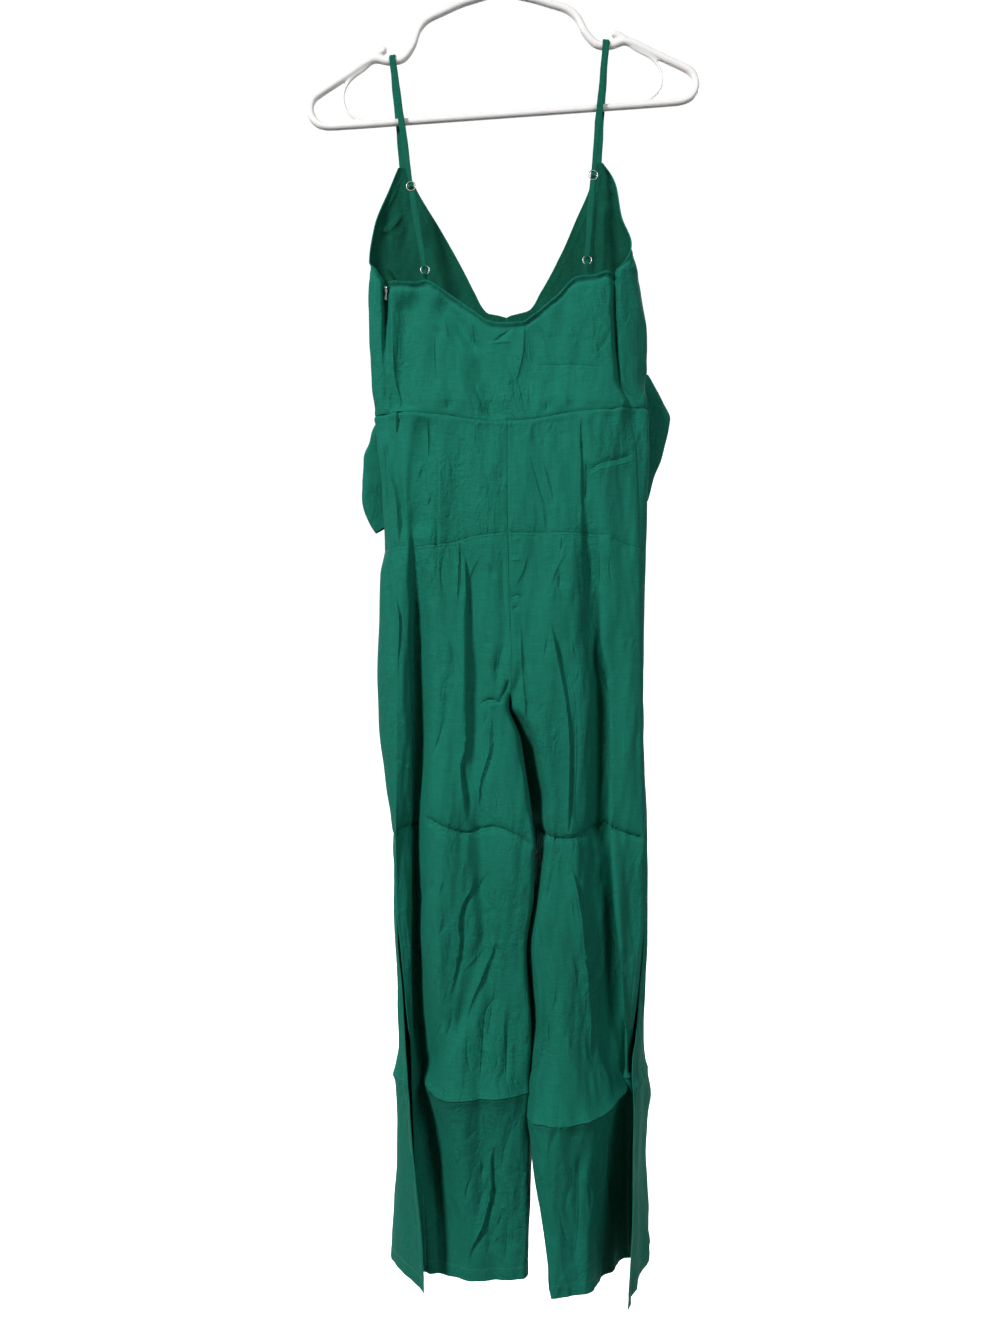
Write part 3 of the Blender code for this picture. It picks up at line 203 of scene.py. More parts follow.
# Trouser legs, from the waist to the hem. "inner" is the centre seam above the crotch
# and the inseam below it; "fold" the deep back fold and its outer lip; "side" the side
# seam, then the back panel's edge at the open slit; "flap" the front panel's slit edge;
# "outline" the outermost line; "flat" how far the panels stand apart. "shoulder" is how
# far from the inner seam a panel has turned flat.
CROTCH = -0.862
CLOSED_ABOVE = -0.790
SLIT_TOP = -1.080
SLIT_OPEN = -1.120
LEG = {
    LEFT: {
        "inner": Table("z x back_y front_y shoulder", """
            -546 18.3 -26 26 14 | -620 18.3 -29 29 14 | -705 19.8 -31 31 14 | -790 22.3 -31 31 14
            -825 23 -30 27 14 | -848 20.8 -26 16 14 | -862 19.3 -4 0 14 | -890 29 0 0 14
            -920 34.3 0 0 14 | -970 42.8 0 0 14 | -1010 49 0 0 14 | -1018 47.8 0 0 14
            -1067 45.6 0 0 14 | -1122 39 -1 -1 14 | -1200 43.4 -2 -2 14 | -1280 40.5 -4 -4 14
            -1330 43.6 -5 -5 14 | -1361 44.3 -6 -6 14 | -1420 41.2 -8 -8 14 | -1472 40.1 -10 -10 14
        """),
        "flat": Table("z back_in back_out front_in front_out", """
            -546 -26 -26 26 24 | -620 -29 -29 29 27 | -705 -31 -31 31 29 | -862 -32 -32 31 30
            -1080 -33 -33 30 30 | -1280 -32 -34 26 34 | -1472 -28 -31 22 42
        """),
        "fold": Table("z x y lip_x lip_y", """
            -546 -80 -26 -92 -25 | -620 -82 -25.5 -90.5 -26.5 | -705 -80 -17 -88.5 -26.5
            -790 -79 -6 -86.5 -23.5 | -862 -78.3 0 -85.5 -22 | -940 -78.3 6 -86.5 -16
            -1020 -78.5 13 -87.5 -4 | -1100 -79 19 -89 0 | -1160 -78.5 21 -88.5 0
            -1210 -77 21 -85.8 2 | -1280 -70 20 -79 11 | -1365 -62 12 -72 5 | -1420 -58 -2 -68 -6
            -1472 -54 -15 -64 -17
        """),
        "side": Table("z x y", """
            -546 -108.7 -12 | -705 -107.7 -19 | -790 -99 -29 | -862 -99.5 -30 | -920 -100.8 -27
            -1020 -101.4 -19 | -1080 -100.9 -12 | -1120 -97.5 -8 | -1170 -93 -6 | -1205 -88.5 -11
            -1230 -86 -6 | -1280 -85 -3 | -1365 -81.5 -4 | -1472 -75 -10
        """),
        "flap": Table("z x y", """
            -1080 -100.9 -12 | -1120 -99.6 -9 | -1170 -94.8 -9 | -1205 -92.5 -13 | -1230 -90.2 -23
            -1262 -86.8 -31 | -1310 -83.3 -36 | -1355 -78.8 -40 | -1420 -71.2 -47
            -1472 -67.8 -53.6
        """),
        "outline": Table("z x y", """
            -546 -125.9 0 | -616 -121 0 | -692 -116 0 | -720 -119.7 0 | -874 -119.9 0
            -945 -112.8 0 | -1005 -107.2 0 | -1055 -104.8 1 | -1100 -103.2 3 | -1170 -99.6 5
            -1230 -99.4 5 | -1262 -104.2 6 | -1360 -104.6 10 | -1420 -107.5 15 | -1472 -110.4 19.5
        """),
    },
    RIGHT: {
        "inner": Table("z x back_y front_y shoulder", """
            -546 18.7 -26 26 14 | -620 18.7 -29 29 14 | -705 20.2 -31 31 14 | -790 22.7 -31 31 14
            -825 23.8 -30 27 14 | -848 22.4 -26 16 14 | -862 21.4 -2 0 14 | -890 28.4 12 12 17.2
            -925 33.4 19 19 17.5 | -970 41 22 22 16.5 | -1020 46.7 22 22 16 | -1067 44 22 22 15.4
            -1122 38.2 18 18 16.6 | -1160 41.8 10 10 14.2 | -1200 44.7 0 0 13
            -1240 42.4 -14 -14 13 | -1280 39.8 -26 -26 14 | -1330 44.8 -35 -35 14
            -1361 48.7 -40 -40 14 | -1411 56.8 -48 -48 14 | -1448 62 -53.5 -53.5 14
            -1475 64.9 -57.5 -57.5 14
        """),
        "flat": Table("z back_in back_out front_in front_out", """
            -546 -26 -26 26 24 | -620 -29 -29 29 27 | -705 -31 -31 31 29 | -862 -32 -31 31 30
            -1080 -36 -30 28 34 | -1200 -42 -26 20 42 | -1350 -50 -23 -2 56 | -1475 -56 -23 -25 68
        """),
        "fold": Table("z x y lip_x lip_y", """
            -546 108.5 -26 120 -25.5 | -620 109.5 -27.5 118 -29 | -705 110.5 -20.5 115.5 -28.5
            -790 114 -10 119.5 -27.5 | -830 119 -4 125 -27 | -862 121.5 -2 126.8 -27
            -990 122.5 -2 127.2 -26.5 | -1046 128 0 132.6 -26.5 | -1110 133.5 2 138 -26.5
            -1170 138 4 142.7 -26 | -1195 140.5 4 145.2 -24 | -1220 143.5 5 147.5 -15
            -1280 146.5 8 149.8 2 | -1365 149 14 152.5 13 | -1475 149 19 153.5 22
        """),
        "side": Table("z x y", """
            -546 151.4 -10 | -590 159 -11 | -705 162.2 -16 | -850 163.2 -19.5 | -1000 166 -18
            -1080 167.6 -8 | -1115 164.8 -13 | -1170 159.2 -15 | -1205 155.3 -10 | -1230 153.5 -3
            -1280 153 6 | -1365 156 16 | -1475 158 27
        """),
        "flap": Table("z x y", """
            -1080 167.6 -8 | -1115 166.8 -5 | -1170 162.4 -4 | -1205 159.2 -9 | -1220 156.5 -19
            -1235 152.2 -30 | -1255 150.6 -37 | -1280 151.6 -44 | -1330 150 -51 | -1390 148.3 -62
            -1430 145 -70 | -1475 140.7 -78.5
        """),
        "outline": Table("z x y", """
            -546 171.1 0 | -660 170 0 | -740 168.6 0 | -840 167.6 0 | -920 168.6 0 | -1000 170.2 0
            -1090 170 3 | -1170 171 10 | -1255 172.5 20 | -1295 177.8 27 | -1315 175 30
            -1360 172.5 36 | -1430 179 48 | -1475 182.1 55
        """),
    },
}
LEG_HEM = {LEFT: -1.472, RIGHT: -1.475}
OUTER_SHOULDER = 0.014

# The back between the crest near the inseam and the flat's far side: how far out and how
# far down its broad middle lies, and how wide the far side is
BROAD_OUT = 0.60
BROAD_DROP = {LEFT: 0.40, RIGHT: 0.24}
FOLD_WIDTH = {
    LEFT: Table("z width", "-546 19 | -1060 19 | -1170 24 | -1280 34 | -1472 30"),
    RIGHT: Table("z width", "-546 22 | -900 24 | -1020 33 | -1475 31"),
}
FOLD_SHIFT = {LEFT: 0.40, RIGHT: 1.1}
LIP_SHIFT = {LEFT: 0.2, RIGHT: 0.0}

# The back panels turn more sharply at the inseam than their solids do, the left one most.
# "depth" is how much of the flat's depth the turn keeps, in thousandths.
CORNER = {
    LEFT: Table("z across depth crest", "-862 1.5 900 8 | -1472 1.5 900 8"),
    RIGHT: Table("z across depth crest", """
        -862 3 850 8 | -880 9 500 9 | -915 16.5 250 8 | -950 16 250 8 | -985 12 400 9
        -1035 8 650 9 | -1200 8 1000 8 | -1475 8 1000 8
    """),
}
STRIP_BULGE = {LEFT: 0.0015, RIGHT: 0.0025}
BODICE_LIP = {LEFT: (-0.0998, -0.0235), RIGHT: (0.1420, -0.0210)}

HANGER_TUBE = 0.0045

# Straps: where each one starts, crosses the hanger, and reaches its slider and ring
Strap = namedtuple("Strap", "apex hanger slider ring")
STRAPS = {
    LEFT: Strap(
        apex=Vector((-0.0957, 0.0080, -0.2726)), hanger=Vector((-0.1060, 0.0, -0.1593)),
        slider=Vector((-0.0852, -0.0120, -0.3005)), ring=Vector((-0.0698, -0.0165, -0.3926)),
    ),
    RIGHT: Strap(
        apex=Vector((0.1187, 0.0080, -0.2671)), hanger=Vector((0.1262, 0.0, -0.1425)),
        slider=Vector((0.1113, -0.0120, -0.2886)), ring=Vector((0.1045, -0.0165, -0.3820)),
    ),
}

# The bow: knot centre, and each loop's tip, its reach and the height of its end
KNOT = Vector((0.0180, 0.0375, -0.5490))
Loop = namedtuple("Loop", "tip_x top_z bottom_z bulge")
LOOPS = {
    LEFT: Loop(tip_x=-0.1290, top_z=-0.5485, bottom_z=-0.6700, bulge=0.0165),
    RIGHT: Loop(tip_x=0.1770, top_z=-0.4920, bottom_z=-0.6330, bulge=0.0250),
}

# The level hanger's right half, as x, z and radius: its frame, then its strap knob and rib
HALF_FRAME = sizes("""
    0 -85 4.5 | 35 -93 4.5 | 60 -102 4.5 | 77 -109 4.5 | 87 -119 4.5 | 93.5 -134 4.5 | 102 -146 4.5
    110 -150.8 4.5 | 122.5 -151.2 4.5 | 140 -148.5 4.5 | 170 -165 4.5 | 199 -181 4.5
    207.5 -188 4.5 | 210.5 -198.5 4.5 | 207 -210 4.4 | 196 -217 4.2 | 170 -218.4 4 | 80 -218.4 4
""", 3)
KNOB = sizes("142 -149.8 | 133 -143.2 | 126.2 -139.2", 2)
RIB = sizes("""
    138 -150 | 150 -159 | 163 -167.2 | 171.2 -177.5 | 174 -190 | 170.5 -203 | 160 -212 | 150 -217
""", 2)


# Creases --------------------------------------------------------------------------------------


class Mark(Enum):
    """The ways a crease can bend the cloth across its path, by the letters of the lists."""

    TROUGH = "T"
    RIDGE = "R"
    LINE = "L"
    KINK = "K"
    FOLD = "F"


class Face(Enum):
    """Which side of the garment a crease lies on, where a panel wraps round to both."""

    BACK = -1.0
    FRONT = 1.0


STEP_WIDTH = 0.0009
RELIEF = 2.3
SHARP_RELIEF = 1.5 * RELIEF
NICK = {
    Mark.TROUGH: 0.30, Mark.RIDGE: -0.60, Mark.LINE: 1.00, Mark.FOLD: -1.00, Mark.KINK: -0.80,
}
NICK_WIDEST = 0.0065
NICK_DEEPEST = 0.65
NICK_REACH = 0.0055
FADE = 0.3


@dataclass(frozen=True)
class Crease:
    """One crease along a path of (x, z) points, top to bottom or left to right.

    A TROUGH is a soft hollow, a RIDGE a soft crest, a LINE a sharp thin furrow, a KINK a
    pressed bend between two flats, and a FOLD is raised on one side and sunk on the other:
    raised on the left of its path, +X of a path that runs down, or on the other side where
    the depth is negative.
    """

    kind: Mark
    width: float
    depth: float
    path: tuple[Spot, ...]
    fade: float = FADE
    face: Face = Face.BACK

    @property
    def nick(self) -> float:
        """The sharp furrow at its heart in millimetres; negative where it is a crest."""
        depth = NICK[self.kind] * self.depth / MILLIMETRE if self.width < NICK_WIDEST else 0.0
        return float(np.clip(depth, -NICK_DEEPEST, NICK_DEEPEST))

    def trace(self, x: Array, z: Array) -> tuple[Array, Array, Array]:
        """Find the points near the crease.

        Args:
            x: Points' places across the garment.
            z: Points' heights.

        Returns:
            A mask of the near points, their signed distances and their share of its depth.
        """
        line = smooth_line(self.path, 5)
        reach = 5 * self.width + 2 * MILLIMETRE
        near = (
            (x > line[:, 0].min() - reach) & (x < line[:, 0].max() + reach)
            & (z > line[:, 1].min() - reach) & (z < line[:, 1].max() + reach)
        )
        px, pz = x[near], z[near]
        closest = np.full(px.shape, np.inf)
        across = np.zeros_like(px)
        along = np.zeros_like(px)
        starts = run_lengths(line)
        for start, end, begun, ended in zip(line, line[1:], starts, starts[1:]):
            way = (end - start) / np.linalg.norm(end - start)
            off_x, off_z = px - start[0], pz - start[1]
            ahead = np.clip(off_x * way[0] + off_z * way[1], 0.0, ended - begun)
            distance = np.hypot(off_x - ahead * way[0], off_z - ahead * way[1])
            nearer = distance < closest
            turn = np.sign(way[0] * off_z - way[1] * off_x)
            closest = np.where(nearer, distance, closest)
            across = np.where(nearer, turn * distance, across)
            along = np.where(nearer, (begun + ahead) / starts[-1], along)
        return near, across, ease(np.minimum(along, 1 - along) / self.fade)

    def rise(self, across: Array) -> Array:
        """How far it lifts the cloth at signed distances from its path."""
        relief = SHARP_RELIEF if self.kind in (Mark.LINE, Mark.FOLD) else RELIEF
        return relief * self.depth * self.profile(across)

    def profile(self, across: Array) -> Array:
        """The crease's form at signed distances from its path, from -1 to 1.

        Args:
            across: Signed distances from its path.

        Returns:
            An array of the same shape.
        """
        share = across / self.width
        if self.kind is Mark.TROUGH:
            return -bell(share, 1.0)
        if self.kind is Mark.RIDGE:
            return bell(share, 1.0)
        if self.kind is Mark.LINE:
            return -np.exp(-np.abs(share) ** 1.3)
        if self.kind is Mark.KINK:
            return np.exp(-np.abs(share))
        return np.exp(-np.abs(share)) * np.tanh(across / STEP_WIDTH)


def run_lengths(points: Array) -> Array:
    """How far along a line each of its points is."""
    return np.concatenate([[0.0], np.cumsum(np.linalg.norm(np.diff(points, axis=0), axis=1))])


def smooth_line(path: Sequence[Spot], steps: int) -> Array:
    """Refine a path into a smooth line through its points.

    Args:
        path: The points that the line passes through.
        steps: Pieces for each stretch between two points.

    Returns:
        An array of the refined points.
    """
    points = np.array(path, float)
    padded = np.vstack([2 * points[0] - points[1], points, 2 * points[-1] - points[-2]])
    u = (np.arange(steps) / steps)[:, None]
    pieces = [
        0.5 * (
            2 * b + (c - a) * u + (2 * a - 5 * b + 4 * c - d) * u**2
            + (3 * b - a - 3 * c + d) * u**3
        )
        for a, b, c, d in zip(padded, padded[1:], padded[2:], padded[3:])
    ]
    return np.vstack([*pieces, points[-1:]])


@dataclass(frozen=True)
class Ripple:
    """Soft unevenness, summed from waves of mixed length and direction."""

    seed: int
    depth: float
    across: Spot
    along: Spot
    waves: int = 16

    def lift(self, u: Array, z: Array) -> Array:
        """Return the unevenness at points of a cloth's own surface.

        Args:
            u: Distances across the cloth.
            z: Heights.

        Returns:
            An array of the points' shape, in metres.
        """
        random = np.random.default_rng(self.seed)
        total = np.zeros_like(u)
        for _ in range(self.waves):
            wide = random.uniform(*self.across) * random.choice((-1, 1))
            tall = random.uniform(*self.along)
            phase = random.uniform(0, 2 * math.pi)
            total += np.cos(2 * math.pi * (u / wide + z / tall) + phase)
        return self.depth * total / math.sqrt(self.waves / 2)


def moved(creases: Sequence[Crease], x: float, z: float, face: Face) -> tuple[Crease, ...]:
    """Repeat creases elsewhere, for a side of the cloth that mirrors another's use.

    Args:
        creases: The creases to repeat.
        x: How far across the copies lie.
        z: How far up.
        face: The side of the garment that they lie on.

    Returns:
        The copies.
    """
    return tuple(
        replace(crease, face=face, path=tuple((a + x, b + z) for a, b in crease.path))
        for crease in creases
    )


def storage_crease(kind: Mark, path: tuple[Spot, ...]) -> tuple[Crease, ...]:
    """A pressed crease from folding the garment flat: sharp at its line, bent widely about it.

    Args:
        kind: TROUGH or RIDGE.
        path: Its points.

    Returns:
        Its wide bend and its sharp one.
    """
    if kind is Mark.TROUGH:
        return (
            Crease(Mark.KINK, 0.0140, -0.0011, path, 0.12),
            Crease(Mark.LINE, 0.0022, 0.0008, path, 0.05),
        )
    return (
        Crease(Mark.KINK, 0.0460, 0.0056, path, 0.20),
        Crease(Mark.KINK, 0.0060, 0.0012, path, 0.02),
    )


def read_creases(text: str, face: Face = Face.BACK) -> tuple[Crease, ...]:
    """Read creases from lines of kind, width, depth and perhaps fade, and then points.

    Args:
        text: One line a crease, in millimetres; a kind alone stands for a storage crease.
        face: The side of the garment that they lie on.

    Returns:
        The creases.
    """
    creases = []
    for line in text.strip().splitlines():
        head, points = line.split(":")
        letter, *measures = head.split()
        path = tuple(map(tuple, sizes(points.replace(",", " "), 2).tolist()))
        if measures:
            width, depth = sizes(" ".join(measures[:2]), 2)[0].tolist()
            fade = float(measures[2]) if len(measures) > 2 else FADE
            creases.append(Crease(Mark(letter), width, depth, path, fade, face))
        else:
            creases += storage_crease(Mark(letter), path)
    return tuple(creases)


def scatter(
    seed: int, count: int, low: Spot, high: Spot, face: Face = Face.BACK
) -> tuple[Crease, ...]:
    """Small crumples at random places.

    Args:
        seed: The random numbers' seed.
        count: How many.
        low: The lowest x and z of their middles.
        high: The highest x and z.
        face: The side of the garment that they lie on.

    Returns:
        The creases.
    """
    random = np.random.default_rng(seed)
    creases = []
    for _ in range(count):
        middle = random.uniform(low, high)
        turn = random.normal(0.0, 0.35)
        half = random.uniform(0.008, 0.030) * np.array([math.sin(turn), math.cos(turn)])
        bend = random.uniform(-0.15, 0.15) * half[::-1] * (1, -1)
        path = tuple(tuple(middle + part) for part in (half, bend, -half))
        kind = Mark(random.choice([m.value for m in (Mark.TROUGH, Mark.LINE, Mark.FOLD)]))
        depth = -0.0003 if kind is Mark.FOLD else 0.0005
        creases.append(Crease(kind, random.uniform(0.0016, 0.0040), depth, path, 0.5, face))
    return tuple(creases)


BACK_LEG_CREASES = {
    LEFT: read_creases("""
        L 1.8 0.8: -65 -551, -65 -578, -65 -602
        T 15 2.2 .15: -72 -549, -73 -621, -76 -684
        F 5 -0.6: -32 -680, -32 -722, -33 -756
        F 8.5 -1.2 .12: -27 -690, -24 -738, -24 -791, -24 -897, -30 -926, -25 -970, -22 -997
        R 3.5 0.7: -29 -700, -28 -760, -28 -850, -31 -900
        T 7 2: -16 -780, -16 -844, -17 -908, -15 -961
        T 8.5 4.2 .35: -17 -897, -14 -961, -10 -1014, -9 -1056, -5 -1099, -3 -1141, 0 -1184, 2 -1226
        F 10 1 .25: -55 -579, -55 -642, -55 -706, -56 -761
        F 4.5 -0.8: 3 -861, 3 -899, -1 -917, -8 -940, -10 -961, -7 -990
        L 1.8 0.7 .15: -10 -860, -7 -857, 2 -854, 9 -857, 14 -856
        L 1.8 0.9 .15: 11 -856, 15 -849, 18 -842, 20 -833
        R 1.8 0.4 .2: -2 -863, 6 -860, 14 -860
        T 5 1: 16 -790, 11 -809, 9 -827, 3 -842
        T 2.8 0.7: 13 -690, 14 -727, 15 -748, 19 -770
        T: -71 -980, -61 -984, -41 -992, -24 -997, -10 -993, 7 -990, 28 -998, 49 -1011
        F 6 -0.9: -16 -1034, -18 -1056, -27 -1071, -32 -1091, -30 -1107, -33 -1133, -41 -1175
        F 6 -0.9: 5 -1090, 6 -1116, -3 -1141, -18 -1176, -24 -1202
        T 8 2.4: -8 -1090, -14 -1130, -24 -1180, -38 -1225
        R 7 1.6: -56 -1020, -54 -1100, -52 -1180, -50 -1250
        L 3 1.1: 14 -1165, -3 -1183, -7 -1215, -10 -1265
        L 2.5 0.9: 18 -1184, 18 -1222, 17 -1262
        L 2.5 0.7: 5 -1132, 5 -1168, 0 -1196, -5 -1232
        R 3 0.7: 16 -1172, 15 -1206, 14 -1232
        R: -74 -1258, -56 -1268, -42 -1273, -18 -1273, 2 -1272, 42 -1271
        T 5 1.1: -40 -1285, -47 -1303, -50 -1330, -56 -1367, -61 -1398
        T 4.5 0.9: 29 -1283, 22 -1310, 15 -1333, 11 -1365
        F 6 -1.2: 9 -1316, 2 -1344, 2 -1379, -7 -1412, -18 -1437, -22 -1456
        T 4 0.8: 20 -1395, 18 -1429, 17 -1458
        K 4 -0.6 .06: -80 -691, -42 -688, -19 -681, 14 -677
    """),
    RIGHT: read_creases("""
        L 1.8 0.8: 98 -551, 98 -578, 98 -598
        L 2.6 1: 103 -598, 104 -619, 103 -645
        F 15 -0.6 .15: 98 -560, 98 -621, 99 -674, 101 -727, 104 -790
        L 2.2 0.5: 42 -590, 52 -625, 64 -664
        L 2 0.5: 56 -596, 64 -622, 70 -650
        F 4.5 -0.6: 34 -770, 36 -825, 39 -860, 41 -895
        F 6 -1 .15: 64 -765, 73 -809, 78 -833, 83 -861, 86 -898, 86 -929, 85 -966, 84 -1003
        T 6 1.2 .2: 78 -800, 91 -850, 94 -900, 93 -960, 94 -995
        T: 47 -996, 64 -1001, 83 -1002, 96 -1001, 108 -996, 128 -988
        F 6 -1.4 .2: 86 -1025, 92 -1051, 96 -1074, 100 -1105, 106 -1167, 108 -1207, 110 -1245
        T 5 1: 117 -1180, 121 -1222, 126 -1258
        L 2.2 0.6: 115 -1092, 119 -1126, 113 -1163
        R: 38 -1295, 76 -1297, 100 -1295, 117 -1290, 135 -1279, 152 -1262
        T 4.5 1 .2: 94 -1322, 94 -1365, 94 -1393, 92 -1418, 88 -1452
        F 5 -0.8: 123 -1315, 124 -1360, 129 -1402
        L 2.4 0.6: 131 -1362, 132 -1402, 131 -1435
        K 4 -0.6 .06: 18 -677, 43 -677, 85 -677, 127 -679
        R 2.5 0.5: 23 -684, 33 -684
        R 2.5 0.5: 23 -706, 33 -706
        L 1.8 0.5: 23 -747, 30 -743, 36 -749
        L 1.8 0.5: 23 -759, 31 -755
        L 2.2 0.7 .15: 104 -612, 117 -603, 135 -598, 155 -591
        R 4 0.4 .15: 105 -618, 118 -609, 136 -604, 155 -597
    """),
}

STRIP_CREASES = {
    LEFT: read_creases("""
        T: -114 -1004, -95 -996, -78 -990
        T 2.8 0.8: -107 -700, -107 -754, -104 -776
        F 3.5 -0.7: -104 -730, -96 -762, -96 -791, -98 -813, -101 -858
        K 3.5 -0.5 .1: -120 -694, -87 -690
        F 6 -1.2 .2: -110 -560, -107 -605, -99 -640, -96 -690
        L 2.2 0.8: -115 -572, -113 -620, -110 -660
        K 7 1.6 .1: -106 -1262, -85 -1266
    """),
    RIGHT: read_creases("""
        T: 126 -989, 136 -993, 149 -999, 170 -1005
        K 3.5 -0.6 .1: 130 -680, 135 -684, 149 -689, 170 -694
        K 7 1.6 .1: 150 -1266, 176 -1262
    """),
}

LEG_SCATTER = {
    side: sum((
        scatter(int(seed + 20 * side) + 40, count, (middle - 0.060, low), (middle + 0.055, high), face)
        for seed, count, low, high in (
            (1, 22, -0.90, -0.60), (2, 26, -1.24, -1.02), (3, 20, -1.45, -1.30),
        )
        for face in Face
    ), ())
    for side, middle in ((LEFT, -0.028), (RIGHT, 0.078))
}

# The front faces are creased as the other leg's back is, a little shifted
LEG_PITCH = 0.094
FRONT_LEG_CREASES = {
    side: STRIP_CREASES[side]
    + moved(BACK_LEG_CREASES[-side], side * LEG_PITCH, side * 0.004, Face.FRONT)
    for side in (LEFT, RIGHT)
}

BODICE_BACK_CREASES = scatter(71, 18, (-0.090, -0.545), (0.130, -0.455)) + read_creases("""
    F 5 -0.6: 38 -446, 38 -470, 36 -489, 27 -524
    L 2.5 0.6: -18 -450, -15 -470, -5 -483
    L 2.2 0.6: 25 -455, 13 -464, 1 -473
    R 2.2 0.5: -3 -474, 11 -471, 25 -472
    T 9 3 .25: -58 -418, -34 -450, -9 -486
    T 12 3: -17 -467, -6 -510, 5 -557, 8 -595
    T 13 4.6 .15: -90 -414, -92 -460, -96 -500, -99 -560
    K 4 -0.5: 40 -497, 86 -496, 131 -499
    L 2.2 0.9: -111 -540, -105 -546, -96 -544
    L 2 0.8 .5: -45 -532, -45 -548.5
    L 2 0.7 .5: 60 -535, 61 -550.5
""")

BODICE_FRONT_CREASES = {
    LEFT: read_creases("""
        T 2.5 1: -127 -341, -110 -337, -94 -320
        F 3 -1: -117 -378, -107 -388, -97 -400
        T 10 1.6: -85 -300, -65 -370, -35 -440
        T 9 1.4: -60 -545, -64 -480, -70 -420
        F 6 -0.8: -20 -545, -30 -490, -50 -430
    """, Face.FRONT),
    RIGHT: read_creases("""
        T 2.2 0.8: 112 -300, 109 -350, 104 -400
        R 2.5 0.8: 119 -295, 117 -350, 115 -405
        T 2.2 0.8: 126 -300, 125 -350, 124 -410
        T 9 1.4: 75 -545, 84 -480, 95 -410
        F 6 -0.8: 45 -545, 58 -490, 80 -430
    """, Face.FRONT) + read_creases("""
        L 2.2 0.7 .5: 158.5 -541, 159 -552
        R 2.8 0.3: 159 -440, 159 -480, 158 -535
    """),
}

BODICE_RIPPLES = (
    Ripple(11, 0.00050, (0.020, 0.060), (0.05, 0.16)),
    Ripple(12, 0.00014, (0.008, 0.018), (0.02, 0.06)),
)
LEG_RIPPLES = {
    side: (
        Ripple(seed, 0.00095, (0.030, 0.080), (0.16, 0.60)),
        Ripple(seed + 1, 0.00026, (0.010, 0.026), (0.04, 0.14)),
    )
    for side, seed in ((LEFT, 21), (RIGHT, 31))
}


# Finishes -------------------------------------------------------------------------------------


class Socket:
    """A node's output, on which Python arithmetic adds Math nodes."""

    def __init__(self, graph: "Graph", output: bpy.types.NodeSocket) -> None:
        """Wrap an output socket of a graph."""
        self.graph = graph
        self.output = output

    def __add__(self, other: "Socket | float") -> "Socket":
        """Add a value."""
        return self.graph.math("ADD", self, other)

    def __sub__(self, other: "Socket | float") -> "Socket":
        """Take a value away."""
        return self.graph.math("SUBTRACT", self, other)

    def __mul__(self, other: "Socket | float") -> "Socket":
        """Multiply by a value."""
        return self.graph.math("MULTIPLY", self, other)

    def __truediv__(self, other: "Socket | float") -> "Socket":
        """Divide by a value."""
        return self.graph.math("DIVIDE", self, other)

    __radd__ = __add__


